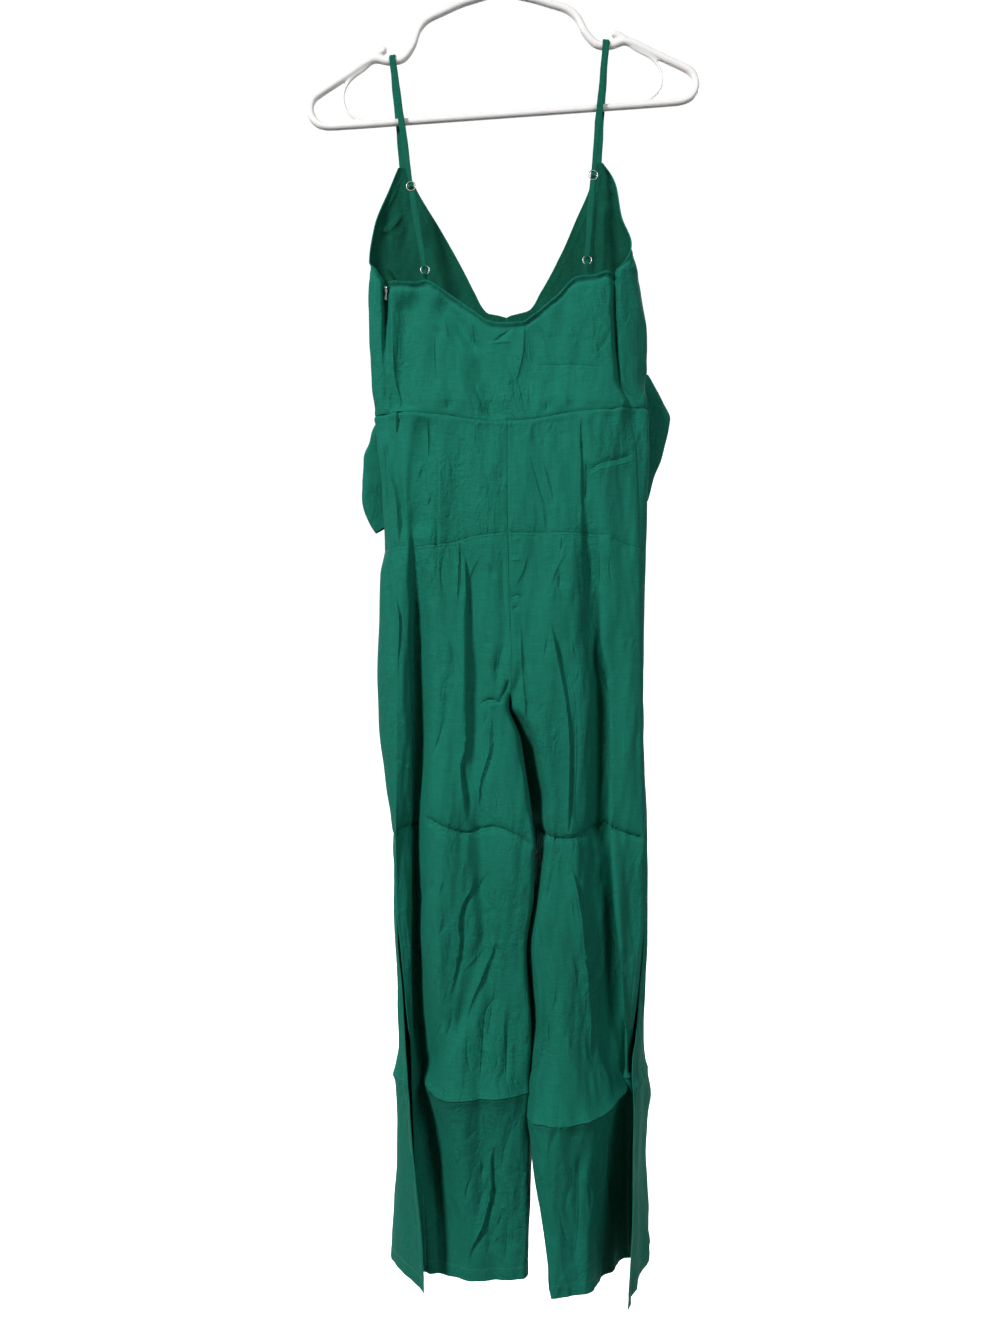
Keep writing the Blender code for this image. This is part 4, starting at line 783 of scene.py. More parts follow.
class Graph:
    """A material's nodes, made by expressions and one node method."""

    def __init__(self, name: str) -> None:
        """Start a material with its Principled shader and the piece's own coordinates.

        Args:
            name: The material's name.
        """
        self.material = bpy.data.materials.new(name)
        self.material.use_nodes = True
        self.tree = self.material.node_tree
        self.shader = self.tree.nodes["Principled BSDF"]
        self.place = self.node("ShaderNodeTexCoord", output="Object")

    def node(
        self, kind: str, settings: dict | None = None, sockets: dict | None = None,
        output: int | str = 0,
    ) -> Socket:
        """Add a node.

        Args:
            kind: The node's type.
            settings: The node's own properties, set first.
            sockets: Values or links of its inputs, by name or number.
            output: Which output to hand back.

        Returns:
            The chosen output, wrapped.
        """
        made = self.tree.nodes.new(kind)
        for name, value in (settings or {}).items():
            setattr(made, name, value)
        self.feed(made, sockets or {})
        return Socket(self, made.outputs[output])

    def feed(self, made: bpy.types.Node, sockets: dict) -> None:
        """Set or link a node's inputs.

        Args:
            made: The node.
            sockets: Values or links, by name or number.
        """
        for name, value in sockets.items():
            if isinstance(value, Socket):
                self.tree.links.new(value.output, made.inputs[name])
            else:
                made.inputs[name].default_value = value

    def finish(self, sockets: dict) -> Material:
        """Feed the Principled shader and hand back the material."""
        self.feed(self.shader, sockets)
        return self.material

    def math(self, operation: str, *values: Socket | float) -> Socket:
        """One Math node on sockets and numbers."""
        return self.node("ShaderNodeMath", {"operation": operation}, dict(enumerate(values)))

    def mix(self, share: Socket, low: Triple, high: Triple) -> Socket:
        """Mix two colours."""
        sockets = {0: share, 6: (*low, 1.0), 7: (*high, 1.0)}
        return self.node("ShaderNodeMix", {"data_type": "RGBA"}, sockets, 2)

    def split(self, vector: Socket, axis: int) -> Socket:
        """One coordinate of a vector."""
        return self.node("ShaderNodeSeparateXYZ", None, {0: vector}, axis)

    def clamp(self, value: Socket) -> Socket:
        """Keep a value within 0 and 1."""
        return self.node("ShaderNodeClamp", None, {0: value})

    def soft_range(self, value: Socket, *limits: float) -> Socket:
        """Ease a value from the range of the first two limits to that of the last two.

        Args:
            value: The value.
            limits: Its two ends, then what they become.

        Returns:
            The eased value.
        """
        return self.node(
            "ShaderNodeMapRange", {"interpolation_type": "SMOOTHSTEP"},
            {0: value, **dict(enumerate(limits, 1))},
        )

    def stretched(self, where: Socket, scale: Triple) -> Socket:
        """Scale coordinates unevenly."""
        return self.node("ShaderNodeVectorMath", {"operation": "MULTIPLY"}, {0: where, 1: scale})

    def noise(self, where: Socket, scale: float, detail: float = 2.0, warp: float = 0.0) -> Socket:
        """Soft noise from about 0 to 1."""
        sockets = {"Vector": where, "Scale": scale, "Detail": detail, "Distortion": warp}
        return self.node("ShaderNodeTexNoise", None, sockets)

    def bump(self, height: Socket, distance: float, under: Socket | None = None) -> Socket:
        """Relief of a height from 0 to 1, on top of another bump's normal.

        Args:
            height: The height.
            distance: How far a height of 1 rises.
            under: The normal beneath.

        Returns:
            The new normal.
        """
        sockets = {"Height": height, "Distance": distance}
        if under is not None:
            sockets["Normal"] = under
        return self.node("ShaderNodeBump", None, sockets)


@dataclass(frozen=True)
class Cloth:
    """Soft woven viscose: a plain weave with slubs, small crumples and almost no shine."""

    name: str = "green_viscose_cloth"
    lit: Triple = (0.0082, 0.150, 0.104)
    deep: Triple = (0.0054, 0.102, 0.068)
    roughness: float = 0.72
    yarn: float = 0.00045

    def material(self) -> Material:
        """Build the node material, which reads the piece's own cloth map.

        Returns:
            The material.
        """
        graph = Graph(self.name)
        where = graph.node("ShaderNodeUVMap", {"uv_map": "cloth"})
        turn = 2 * math.pi / self.yarn
        waves = [graph.math("SINE", graph.split(where, axis) * turn) for axis in (0, 1)]
        weave = waves[0] * waves[1] * 0.5 + 0.5
        weft = graph.noise(graph.stretched(where, (55, 720, 1)), 1.0)
        warp = graph.noise(graph.stretched(where, (720, 40, 1)), 1.0)
        slub = (weft * 1.2 + warp * 0.8) * 0.5
        drape = graph.noise(graph.stretched(graph.place, (1.6, 1.6, 0.5)), 24.0, 2.0, 0.4)
        crumple = self.ridged(graph, (1.0, 1.0, 0.45), 95.0)
        fine = self.ridged(graph, (0.8, 0.8, 1.1), 190.0)
        patch = graph.noise(graph.place, 9.0, 3.0)
        spread = graph.soft_range(graph.noise(graph.place, 13.0), 0.42, 0.62, 0.15, 1.0)
        tone = (patch - 0.5) * 0.8 + (slub - 0.5) * 2.4 + (weave - 0.5) * 0.25 + 0.62
        relief = graph.bump(drape, 0.0020)
        relief = graph.bump(crumple * spread, 0.0016, relief)
        relief = graph.bump(fine * spread, 0.0006, relief)
        relief = graph.bump(self.nick(graph, crumple), MILLIMETRE, relief)
        relief = graph.bump(weave * 0.5 + slub * 1.6, 0.00014, relief)
        return graph.finish({
            "Base Color": graph.mix(graph.clamp(tone), self.deep, self.lit),
            "Roughness": self.roughness + (slub - 0.5) * 0.18 + (patch - 0.5) * 0.08,
            "Normal": relief,
            "Sheen Weight": 0.02,
            "Sheen Roughness": 0.4,
            "Sheen Tint": (0.4, 0.95, 0.85, 1.0),
            "Specular IOR Level": 0.03,
        })

    def nick(self, graph: Graph, uneven: Socket) -> Socket:
        """Sharp creases: a furrow with a crest beside it, drawn from the piece's nick map.

        Args:
            graph: The material's graph.
            uneven: Noise that varies its width.

        Returns:
            Its relief in millimetres.
        """
        mapped = graph.node("ShaderNodeUVMap", {"uv_map": "nicks"})
        share = graph.split(mapped, 0) / (uneven * 1.2 + 0.9)
        beside = share + 1.5
        furrow = graph.math("EXPONENT", share * share * -1.0)
        crest = graph.math("EXPONENT", beside * beside * -1.0)
        return graph.split(mapped, 1) * (crest * 0.8 - furrow)

    def ridged(self, graph: Graph, stretch: Triple, scale: float) -> Socket:
        """Creased noise, whose furrows are sharp."""
        soft = graph.noise(graph.stretched(graph.place, stretch), scale, 1.0, 0.6)
        return graph.math("ABSOLUTE", soft * 2.0 - 1.0)


@dataclass(frozen=True)
class Thread:
    """Twisted sewing thread, a shade lighter than the cloth."""

    name: str = "green_sewing_thread"
    colour: Triple = (0.018, 0.185, 0.130)
    twist: float = 0.0007

    def material(self) -> Material:
        """Build the node material, with the twist as slanting bands.

        Returns:
            The material.
        """
        graph = Graph(self.name)
        bands = graph.node(
            "ShaderNodeTexWave", {"bands_direction": "DIAGONAL"},
            {"Vector": graph.place, "Scale": 0.3 / self.twist, "Distortion": 0.5}, "Fac",
        )
        return graph.finish({
            "Base Color": graph.mix(bands, tuple(0.75 * c for c in self.colour), self.colour),
            "Roughness": bands * 0.1 + 0.45,
            "Normal": graph.bump(bands, 0.00006),
        })


@dataclass(frozen=True)
class Plastic:
    """White moulded polypropylene: a parting line, faint flow waves and handling scuffs."""

    name: str = "white_moulded_plastic"
    colour: Triple = (0.70, 0.695, 0.68)
    worn: Triple = (0.57, 0.56, 0.54)
    roughness: float = 0.34

    def material(self) -> Material:
        """Build the node material.

        Returns:
            The material.
        """
        graph = Graph(self.name)
        depth = graph.math("ABSOLUTE", graph.split(graph.place, 1))
        parting = graph.soft_range(depth, 0.0001, 0.0005, 1.0, 0.0)
        flow = graph.noise(graph.place, 60.0, 2.0, 1.0)
        scuff = graph.noise(graph.stretched(graph.place, (1, 1, 3)), 320.0, 4.0)
        marks = graph.math("GREATER_THAN", scuff, 0.66) * 0.5
        grime = graph.noise(graph.place, 14.0, 4.0)
        tone = graph.clamp((grime - 0.55) * 1.6 + marks * 0.25 + parting * 0.12)
        return graph.finish({
            "Base Color": graph.mix(tone, self.colour, self.worn),
            "Roughness": self.roughness + marks * 0.25 + (flow - 0.5) * 0.1,
            "Normal": graph.bump(parting, 0.00018, graph.bump(flow, 0.00025)),
            "Subsurface Weight": 0.12,
            "Subsurface Scale": 0.003,
        })


@dataclass(frozen=True)
class Metal:
    """Bright plated wire with fine drawing lines and small dull spots."""

    name: str = "silver_plated_wire"
    bright: Triple = (0.34, 0.34, 0.32)
    dull: Triple = (0.15, 0.145, 0.14)
    roughness: float = 0.20

    def material(self) -> Material:
        """Build the node material.

        Returns:
            The material.
        """
        graph = Graph(self.name)
        spots = graph.noise(graph.place, 900.0, 3.0)
        lines = graph.noise(graph.stretched(graph.place, (1, 1, 6)), 2200.0, 1.0)
        tarnish = graph.clamp((spots - 0.5) * 2.4)
        return graph.finish({
            "Base Color": graph.mix(tarnish, self.bright, self.dull),
            "Metallic": 1.0,
            "Roughness": self.roughness + tarnish * 0.22 + (lines - 0.5) * 0.1,
            "Normal": graph.bump(lines, 0.00002),
        })


@dataclass(frozen=True)
class Enamel:
    """Pale green-grey lacquer on the zip's pull, worn thin in random patches."""

    name: str = "pale_enamel"
    colour: Triple = (0.60, 0.68, 0.63)
    thin: Triple = (0.42, 0.50, 0.46)

    def material(self) -> Material:
        """Build the node material.

        Returns:
            The material.
        """
        graph = Graph(self.name)
        wear = graph.clamp((graph.noise(graph.place, 500.0, 3.0) - 0.5) * 2.0)
        return graph.finish({
            "Base Color": graph.mix(wear, self.colour, self.thin),
            "Roughness": wear * 0.2 + 0.28,
            "Coat Weight": 0.4,
            "Normal": graph.bump(graph.noise(graph.place, 1400.0), 0.00003),
        })


@dataclass(frozen=True)
class Paper:
    """Pale studio floor and sweep."""

    name: str = "pale_studio_sweep"
    colour: Triple = (0.80, 0.80, 0.80)
    glow: float = 0.72

    def material(self) -> Material:
        """Build the node material.

        Returns:
            The material.
        """
        graph = Graph(self.name)
        grain = graph.noise(graph.place, 30.0, 3.0)
        return graph.finish({
            "Base Color": graph.mix(grain, tuple(0.98 * c for c in self.colour), self.colour),
            "Roughness": 0.9,
            "Emission Color": (1.0, 1.0, 1.0, 1.0),
            "Emission Strength": self.glow,
        })


class Wardrobe:
    """The finishes in use, each made once."""

    def __init__(self) -> None:
        """Make every material."""
        self.cloth = Cloth().material()
        # Inner skins of every shell: the wrong side of the cloth, a little rougher, but with its
        # colour darkened to about half as painted shade for the hollows seen inside the garment.
        self.reverse_side_and_painted_shade = Cloth(
            "green_viscose_reverse_side_and_painted_shade", (0.0046, 0.078, 0.048), (0.0032, 0.054, 0.032), 0.80
        ).material()
        # Straps and ring loops: the same cloth, with its colour darkened to about two thirds as
        # painted shade for the narrow rolled straps.
        self.strap_fabric_painted_shade = Cloth(
            "green_viscose_strap_fabric_painted_shade", (0.0060, 0.104, 0.070), (0.0038, 0.068, 0.044), 0.66
        ).material()
        self.thread = Thread().material()
        self.plastic = Plastic().material()
        self.metal = Metal().material()
        self.enamel = Enamel().material()
        self.paper = Paper().material()


# Making meshes --------------------------------------------------------------------------------


def deselect() -> None:
    """Leave nothing selected."""
    bpy.ops.object.select_all(action="DESELECT")


def make_active(piece: Piece) -> None:
    """Select one piece alone and make it active.

    Args:
        piece: The piece.
    """
    deselect()
    piece.select_set(True)
    bpy.context.view_layer.objects.active = piece


def add_object(name: str, data: bpy.types.ID) -> Piece:
    """Put data into the scene as an object, the only one selected.

    Args:
        name: The object's name.
        data: Its mesh, curve, light or camera.

    Returns:
        The object.
    """
    piece = bpy.data.objects.new(name, data)
    bpy.context.scene.collection.objects.link(piece)
    make_active(piece)
    return piece


def apply_modifiers(piece: Piece) -> None:
    """Apply all of a piece's modifiers, in order.

    Args:
        piece: The piece.
    """
    make_active(piece)
    for modifier in list(piece.modifiers):
        bpy.ops.object.modifier_apply(modifier=modifier.name)


def modify(piece: Piece, kind: str, **settings: float | str | bool) -> None:
    """Give a piece a modifier, to be applied with the rest.

    Args:
        piece: The piece.
        kind: The modifier's type.
        settings: Its own properties.
    """
    modifier = piece.modifiers.new(kind.lower(), kind)
    for name, value in settings.items():
        setattr(modifier, name, value)


def edit_whole(piece: Piece, operator: Callable, **options: float) -> None:
    """Run one mesh operator on the whole of a piece.

    Args:
        piece: The piece.
        operator: The mesh operator.
        options: The operator's own options.
    """
    make_active(piece)
    bpy.ops.object.mode_set(mode="EDIT")
    bpy.ops.mesh.select_all(action="SELECT")
    operator(**options)
    bpy.ops.object.mode_set(mode="OBJECT")


def merge_doubles(piece: Piece) -> None:
    """Weld points of a piece that lie on each other."""
    edit_whole(piece, bpy.ops.mesh.remove_doubles, threshold=0.00001)


def settle(piece: Piece) -> None:
    """Move a piece's place into its mesh, so that its object sits at the origin."""
    make_active(piece)
    bpy.ops.object.transform_apply(location=True, rotation=True, scale=True)


def join(pieces: Sequence[Piece]) -> Piece:
    """Join pieces into the first one.

    Args:
        pieces: The pieces.

    Returns:
        The first piece, which now holds them all.
    """
    make_active(pieces[0])
    for piece in pieces:
        piece.select_set(True)
    bpy.ops.object.join()
    return pieces[0]


def dress(
    piece: Piece, name: str, material: Material, nodes: Sequence[str] = (),
    body: str = BODY, inside: Material | None = None,
) -> Piece:
    """Name a finished piece, give it its material and let it ride on its body.

    Args:
        piece: The finished object.
        name: Its name.
        material: Its finish.
        nodes: CAD nodes that it stands for.
        body: The body that it moves with.
        inside: The finish of a shell's inner skin, its second material.

    Returns:
        The same piece.
    """
    piece.name = name
    piece.data.name = name
    if inside is None:
        piece.data.materials.clear()
        piece.data.materials.append(material)
    else:
        piece.data.materials[0] = material
        piece.data.materials[1] = inside
    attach(piece, body)
    if nodes:
        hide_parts(*nodes)
    LOG.info("%s: %d faces", name, len(piece.data.polygons))
    return piece


@dataclass(frozen=True)
class Cut:
    """The flat piece of cloth that a sheet was cut from, and how it is held."""

    width: float
    length: float
    area: float
    held: str = "hung"
    rests_on: str = "hanger"


def dress_sheet(shell: Piece, node: str, finish: Wardrobe) -> None:
    """Dress a cloth shell in place of its node.

    Args:
        shell: The shell.
        node: The node that it stands for.
        finish: The finishes.
    """
    # The inner skin gets the wrong-side finish, whose darker colour is painted shade.
    dress(shell, node + "_cloth", finish.cloth, [node], inside=finish.reverse_side_and_painted_shade)


def unit(vectors: Array) -> Array:
    """Scale vectors along the last axis to length 1."""
    return vectors / np.maximum(np.linalg.norm(vectors, axis=-1, keepdims=True), 1e-12)


def lerp(low: Array, high: Array, share: Array | float) -> Array:
    """A point part of the way from one to another."""
    return low + (high - low) * share


def read_line(marks: Array, far: Array, points: Array) -> Array:
    """Points at marks along a line whose points are so far along it."""
    return np.stack([np.interp(marks, far, points[:, axis]) for axis in range(3)], -1)


def surface_normals(points: Array, outward: Array) -> Array:
    """Normals of a grid of points, turned to agree with rough outward directions."""
    normals = unit(np.cross(np.gradient(points, axis=1), np.gradient(points, axis=0)))
    return normals * np.sign((normals * outward).sum())


def raised(plan: Array, outward: Array, z: Array) -> tuple[Array, Array]:
    """Plan points and directions as points at their heights and level directions."""
    points = np.concatenate([plan, z[..., None]], axis=-1)
    return points, np.concatenate([outward, np.zeros_like(z)[..., None]], axis=-1)


def cloth_map(points: Array) -> Array:
    """Distances across and down a grid of points, from its first column and row.

    Args:
        points: Points, as (rows, columns, 3).

    Returns:
        Distances, as (rows, columns, 2).
    """
    across = np.linalg.norm(np.diff(points, axis=1), axis=-1)
    down = np.linalg.norm(np.diff(points, axis=0), axis=-1)
    u = np.concatenate([np.zeros((len(points), 1)), np.cumsum(across, axis=1)], axis=1)
    v = np.concatenate([np.zeros((1, points.shape[1])), np.cumsum(down, axis=0)], axis=0)
    return np.stack([u, v], axis=-1)


def vertex_values(mesh: bpy.types.Mesh, name: str = "co") -> Array:
    """Read a vector of every vertex, its place unless another is named.

    Args:
        mesh: The mesh.
        name: The property's name.

    Returns:
        An array of (vertices, 3).
    """
    values = np.zeros(len(mesh.vertices) * 3)
    mesh.vertices.foreach_get(name, values)
    return values.reshape(-1, 3)


def set_map(mesh: bpy.types.Mesh, name: str, values: Array) -> None:
    """Give a mesh a UV map with one pair of values for each vertex; cloth's is the first.

    Args:
        mesh: The mesh.
        name: The map's name.
        values: The pairs, in the order of the vertices.
    """
    if name == "cloth" and mesh.uv_layers:
        mesh.uv_layers[0].name = name
    layer = mesh.uv_layers.get(name) or mesh.uv_layers.new(name=name)
    corners = np.zeros(len(mesh.loops), np.int32)
    mesh.loops.foreach_get("vertex_index", corners)
    layer.data.foreach_set("uv", values.reshape(-1, 2)[corners].reshape(-1))


def make_shell(
    points: Array, outward: Array, thickness: float, nicks: Array | None = None
) -> Piece:
    """Turn a grid of outer points into a closed thin shell with a cloth map.

    Args:
        points: Outer points, as (rows, columns, 3).
        outward: Directions out of the cloth, of the same shape.
        thickness: The cloth's thickness, laid inwards.
        nicks: Distance from the nearest sharp crease and its depth, as (rows, columns, 2).

    Returns:
        The shell, smooth but for its rims.
    """
    across = np.cross(np.gradient(points, axis=1), np.gradient(points, axis=0))
    maps = {"cloth": cloth_map(points)}
    if nicks is not None:
        maps["nicks"] = nicks
    if (across * outward).sum() < 0:
        points = points[::-1]
        maps = {name: values[::-1] for name, values in maps.items()}
    rows, columns = points.shape[:2]
    deselect()
    bpy.ops.mesh.primitive_grid_add(x_subdivisions=columns - 1, y_subdivisions=rows - 1, size=1)
    shell = bpy.context.object
    mesh = shell.data
    mesh.vertices.foreach_set("co", points.reshape(-1))
    for name, values in maps.items():
        set_map(mesh, name, values)
    mesh.update()
    modify(shell, "SOLIDIFY", thickness=thickness, offset=-1.0, material_offset=1)
    mesh.materials.append(None)
    mesh.materials.append(None)
    apply_modifiers(shell)
    bpy.ops.object.shade_smooth_by_angle(angle=math.radians(55))
    return shell


def make_tube(
    points: Sequence, radius: float | Sequence[float], sides: int, closed: bool = False
) -> Piece:
    """A round tube along points, as a mesh.

    Args:
        points: The tube's middle line.
        radius: One radius, or one for each point.
        sides: Blender's bevel resolution; a tube has twice as many sides and 4 more.
        closed: Whether the line joins up.

    Returns:
        The tube, with its place in its mesh.
    """
    curve = bpy.data.curves.new("tube", "CURVE")
    curve.dimensions = "3D"
    curve.bevel_depth = 1.0
    curve.bevel_resolution = sides
    curve.use_fill_caps = not closed
    spline = curve.splines.new("POLY")
    spline.points.add(len(points) - 1)
    radii = np.broadcast_to(radius, len(points))
    for knot, point, size in zip(spline.points, points, radii):
        knot.co = (*point, 1.0)
        knot.radius = size
    spline.use_cyclic_u = closed
    tube = add_object("tube", curve)
    bpy.ops.object.convert(target="MESH")
    merge_doubles(tube)
    bpy.ops.object.shade_smooth()
    return tube


# Panels ---------------------------------------------------------------------------------------


def spot(x: Array | float, y: Array | float, z: Array) -> Array:
    """A plan point for each height."""
    return np.stack(np.broadcast_arrays(x, y, z)[:2])


def pair(row: tuple, name: str, z: Array) -> Array:
    """The plan point that two columns of a table's row give."""
    return spot(getattr(row, name + "_x"), getattr(row, name + "_y"), z)


@dataclass
class Panel:
    """One cut piece of cloth, lofted through plan stations down the garment."""

    side: float
    name: str
    cut: Cut
    columns: tuple[int, ...]
    creases: tuple[Crease, ...] = ()
    ripples: tuple[Ripple, ...] = ()
    thickness: float = 0.0008
    seam_tuck: float = 0.0005
    waist_tuck: float = 0.0008
    seam_width: float = 0.0013
    hem_width: float = 0.0075
    flat_edge: float = 0.012
    held_edge: float = 0.004
    foot_level: float | None = None
    points: Array = field(default=None, init=False)
    normals: Array = field(default=None, init=False)
    nicks: Array = field(default=None, init=False)

    def stations(self, z: Array) -> list[Array]:
        """Plan points that the section passes, with one before and one after."""
        raise NotImplementedError

    def levels(self) -> Array:
        """The rows' nominal heights, from one end to the other."""
        raise NotImplementedError

    def height(self, level: Array, foot_x: Array) -> Array:
        """A row's real height over each place across the garment."""
        raise NotImplementedError

    def edges(self, z: Array) -> list[tuple[Array, Array | float]]:
        """How far the first and last side edges are sewn, from 0 to 1, and their tuck."""
        return [(np.ones_like(z), self.seam_tuck)] * 2

    def finish_ends(self, lift: Array, z: Array, u: Array) -> Array:
        """Shape the first and last rows: a waist seam, a neckline or a hem."""
        return lift

    def section(self, z: Array) -> tuple[Array, Array]:
        """Points and outward directions of the section curve at each point's height.

        Args:
            z: Heights, as (rows, columns).

        Returns:
            Plan points and outward directions, each (rows, columns, 2).
        """
        knots = np.array(self.stations(z))
        segment = np.repeat(np.arange(len(self.columns)), self.columns)
        share = np.concatenate([np.arange(count) / count for count in self.columns])
        segment = np.append(segment, len(self.columns) - 1)
        share = np.append(share, 1.0)
        ways = knots[2:] - knots[:-2]
        ways = ways / np.hypot(ways[:, :1], ways[:, 1:])
        pick = np.arange(len(segment))
        start = knots[segment + 1, :, :, pick]
        end = knots[segment + 2, :, :, pick]
        length = np.hypot(*np.moveaxis(end - start, 1, 0))[:, None]
        leave = ways[segment, :, :, pick] * length
        arrive = ways[segment + 1, :, :, pick] * length
        u = share[:, None, None]
        plan = (
            start * (2 * u**3 - 3 * u**2 + 1) + leave * (u**3 - 2 * u**2 + u)
            + end * (3 * u**2 - 2 * u**3) + arrive * (u**3 - u**2)
        ).transpose(2, 0, 1)
        slope = (
            start * (6 * u**2 - 6 * u) + leave * (3 * u**2 - 4 * u + 1)
            + end * (6 * u - 6 * u**2) + arrive * (3 * u**2 - 2 * u)
        ).transpose(2, 0, 1)
        return plan, unit(np.stack([self.side * slope[..., 1], -self.side * slope[..., 0]], -1))

    def loft(self) -> tuple[Array, Array]:
        """The bare panel's points and outward directions, as (rows, columns, 3).

        Returns:
            Both as (rows, columns, 3).
        """
        level = self.levels()[:, None] + np.zeros(sum(self.columns) + 1)
        foot = level if self.foot_level is None else np.full_like(level, self.foot_level)
        z = self.height(level, self.section(foot)[0][..., 0])
        return raised(*self.section(z), z)

    def shape(self) -> None:
        """Crease, tuck and hem the panel, and keep its points and normals."""
        points, outward = self.loft()
        x, z = points[..., 0], points[..., 2]
        u = cloth_map(points)[..., 0]
        left_over = u[:, -1:] - u
        near_edge = np.minimum(u, left_over)
        normals = surface_normals(points, outward)
        across = x + 0.6 * points[..., 1]
        lift = sum(ripple.lift(across, z) for ripple in self.ripples)
        lift = lift * ease(near_edge / self.flat_edge)
        back_share = np.clip(0.5 - 1.5 * normals[..., 1], 0.0, 1.0)
        hold = ease(near_edge / self.held_edge)
        far = np.full_like(x, 2 * NICK_REACH)
        nick = np.zeros_like(x)
        for crease in self.creases:
            seen = hold * (back_share if crease.face is Face.BACK else 1 - back_share)
            near, distance, fade = crease.trace(x, z)
            lift[near] += crease.rise(distance) * fade * seen[near]
            closer = (np.abs(distance) < np.abs(far[near])) & (crease.nick != 0)
            reached = 1 - share_between(0.4 * NICK_REACH, NICK_REACH, np.abs(distance))
            far[near] = np.where(closer, distance, far[near])
            nick[near] = np.where(closer, crease.nick * fade * seen[near] * reached, nick[near])
        self.nicks = np.stack([far / MILLIMETRE, nick], axis=-1)
        for (sewn, tuck), distance in zip(self.edges(z), (u, left_over)):
            lift = lift - tuck * sewn * bell(distance, self.seam_width)
            lift = lift + (1 - sewn) * self.folded_edge(distance, self.hem_width)
        lift = self.finish_ends(lift, z, u)
        self.points = points + normals * lift[..., None]
        self.normals = surface_normals(self.points, outward)

    def folded_edge(self, distance: Array, width: float) -> Array:
        """Relief of a folded edge: a raised band with a stitched furrow behind it.

        Args:
            distance: Distances from the edge.
            width: The fold's width.

        Returns:
            The relief there.
        """
        band = 0.00035 * ease((width - distance) / 0.0012 + 0.5)
        furrow = 0.00040 * bell(distance - width, 0.0011)
        return band - furrow + 0.00030 * bell(distance - 0.0014, 0.0010)

    def build(self, finish: Wardrobe) -> None:
        """Make the panel's shell and dress it.

        Args:
            finish: The finishes.
        """
        self.shape()
        shell = make_shell(self.points, self.normals, self.thickness, self.nicks)
        dress_sheet(shell, self.name, finish)

    def line_across(self, inset: float) -> tuple[Array, Array]:
        """Points and normals along the last row, a distance in from it."""
        grids = (grid[::-1].transpose(1, 0, 2) for grid in (self.points, self.normals))
        return sample_rows(*grids, inset)

    def line_down(self, last: bool, inset: float) -> tuple[Array, Array]:
        """Points and normals down a side edge, a distance in from it."""
        step = -1 if last else 1
        return sample_rows(self.points[:, ::step], self.normals[:, ::step], inset)


def sample_rows(points: Array, normals: Array, inset: float) -> tuple[Array, Array]:
    """Read each row of a grid at one distance along it.

    Args:
        points: Grid of points, as (rows, columns, 3).
        normals: Grid of normals, of the same shape.
        inset: The distance to read at.

    Returns:
        One point and one normal for each row.
    """
    far = cloth_map(points)[..., 0]
    found = [
        np.array([read_line(inset, runs, row) for runs, row in zip(far, grid)])
        for grid in (points, normals)
    ]
    return found[0], unit(found[1])


@dataclass
class BackBodice(Panel):
    """The back of the bodice, from the waist seam up to the dipping neckline."""

    rows: int = 110
    foot_level: float | None = WAIST_LEVEL
    roll_height: float = 0.0012
    roll_furrow: float = 0.0018

    def stations(self, z: Array) -> list[Array]:
        """Side seam, lip, three flats, lip and side seam, between the front's ridges.

        Args:
            z: Heights.

        Returns:
            The stations, in order.
        """
        row = BACK_BODICE.at(z)
        ends = [
            pair(FRONT_BODICE[side].at(np.minimum(z, UNDERARM[side])), "ridge", z)
            for side in (LEFT, RIGHT)
        ]
        flats = [spot(x, row.flat_y, z) for x in BODICE_FLATS]
        return [
            ends[0], pair(row, "left", z), pair(row, "left_lip", z), *flats,
            pair(row, "right_lip", z), pair(row, "right", z), ends[1],
        ]

    def levels(self) -> Array:
        """Shares of the height, from the waist to the neckline."""
        return np.linspace(0.0, 1.0, self.rows)

    def height(self, level: Array, foot_x: Array) -> Array:
        """Rows spread evenly between the waist seam and the neckline."""
        low = bodice_height(np.full_like(level, WAIST_LEVEL), foot_x, WAIST)
        return low + (NECKLINE.at(foot_x).z - low) * level

    def finish_ends(self, lift: Array, z: Array, u: Array) -> Array:
        """Tuck the foot into the waist seam and turn the neckline's edge.

        Args:
            lift: The relief so far.
            z: The points' heights.
            u: Their distances across.

        Returns:
            The relief with both ends shaped.
        """
        above = z - z[:1]
        below = z[-1:] - z
        lift = lift * ease(above / 0.010 + 0.1) - self.waist_tuck * bell(above, self.seam_width)
        roll = self.roll_height * bell(below - 0.0012, 0.0013)
        return lift + roll - self.roll_furrow * bell(below - 0.0052, 0.0026)


def bodice_height(level: Array, foot_x: Array, waist: Table) -> Array:
    """A bodice row's height above a point of the waist seam, which isn't level itself."""
    fade = share_between(WAIST_BLEND, WAIST_LEVEL, level)
    return level + fade * (waist.at(foot_x).z - WAIST_LEVEL + WAIST_GAP / 2)


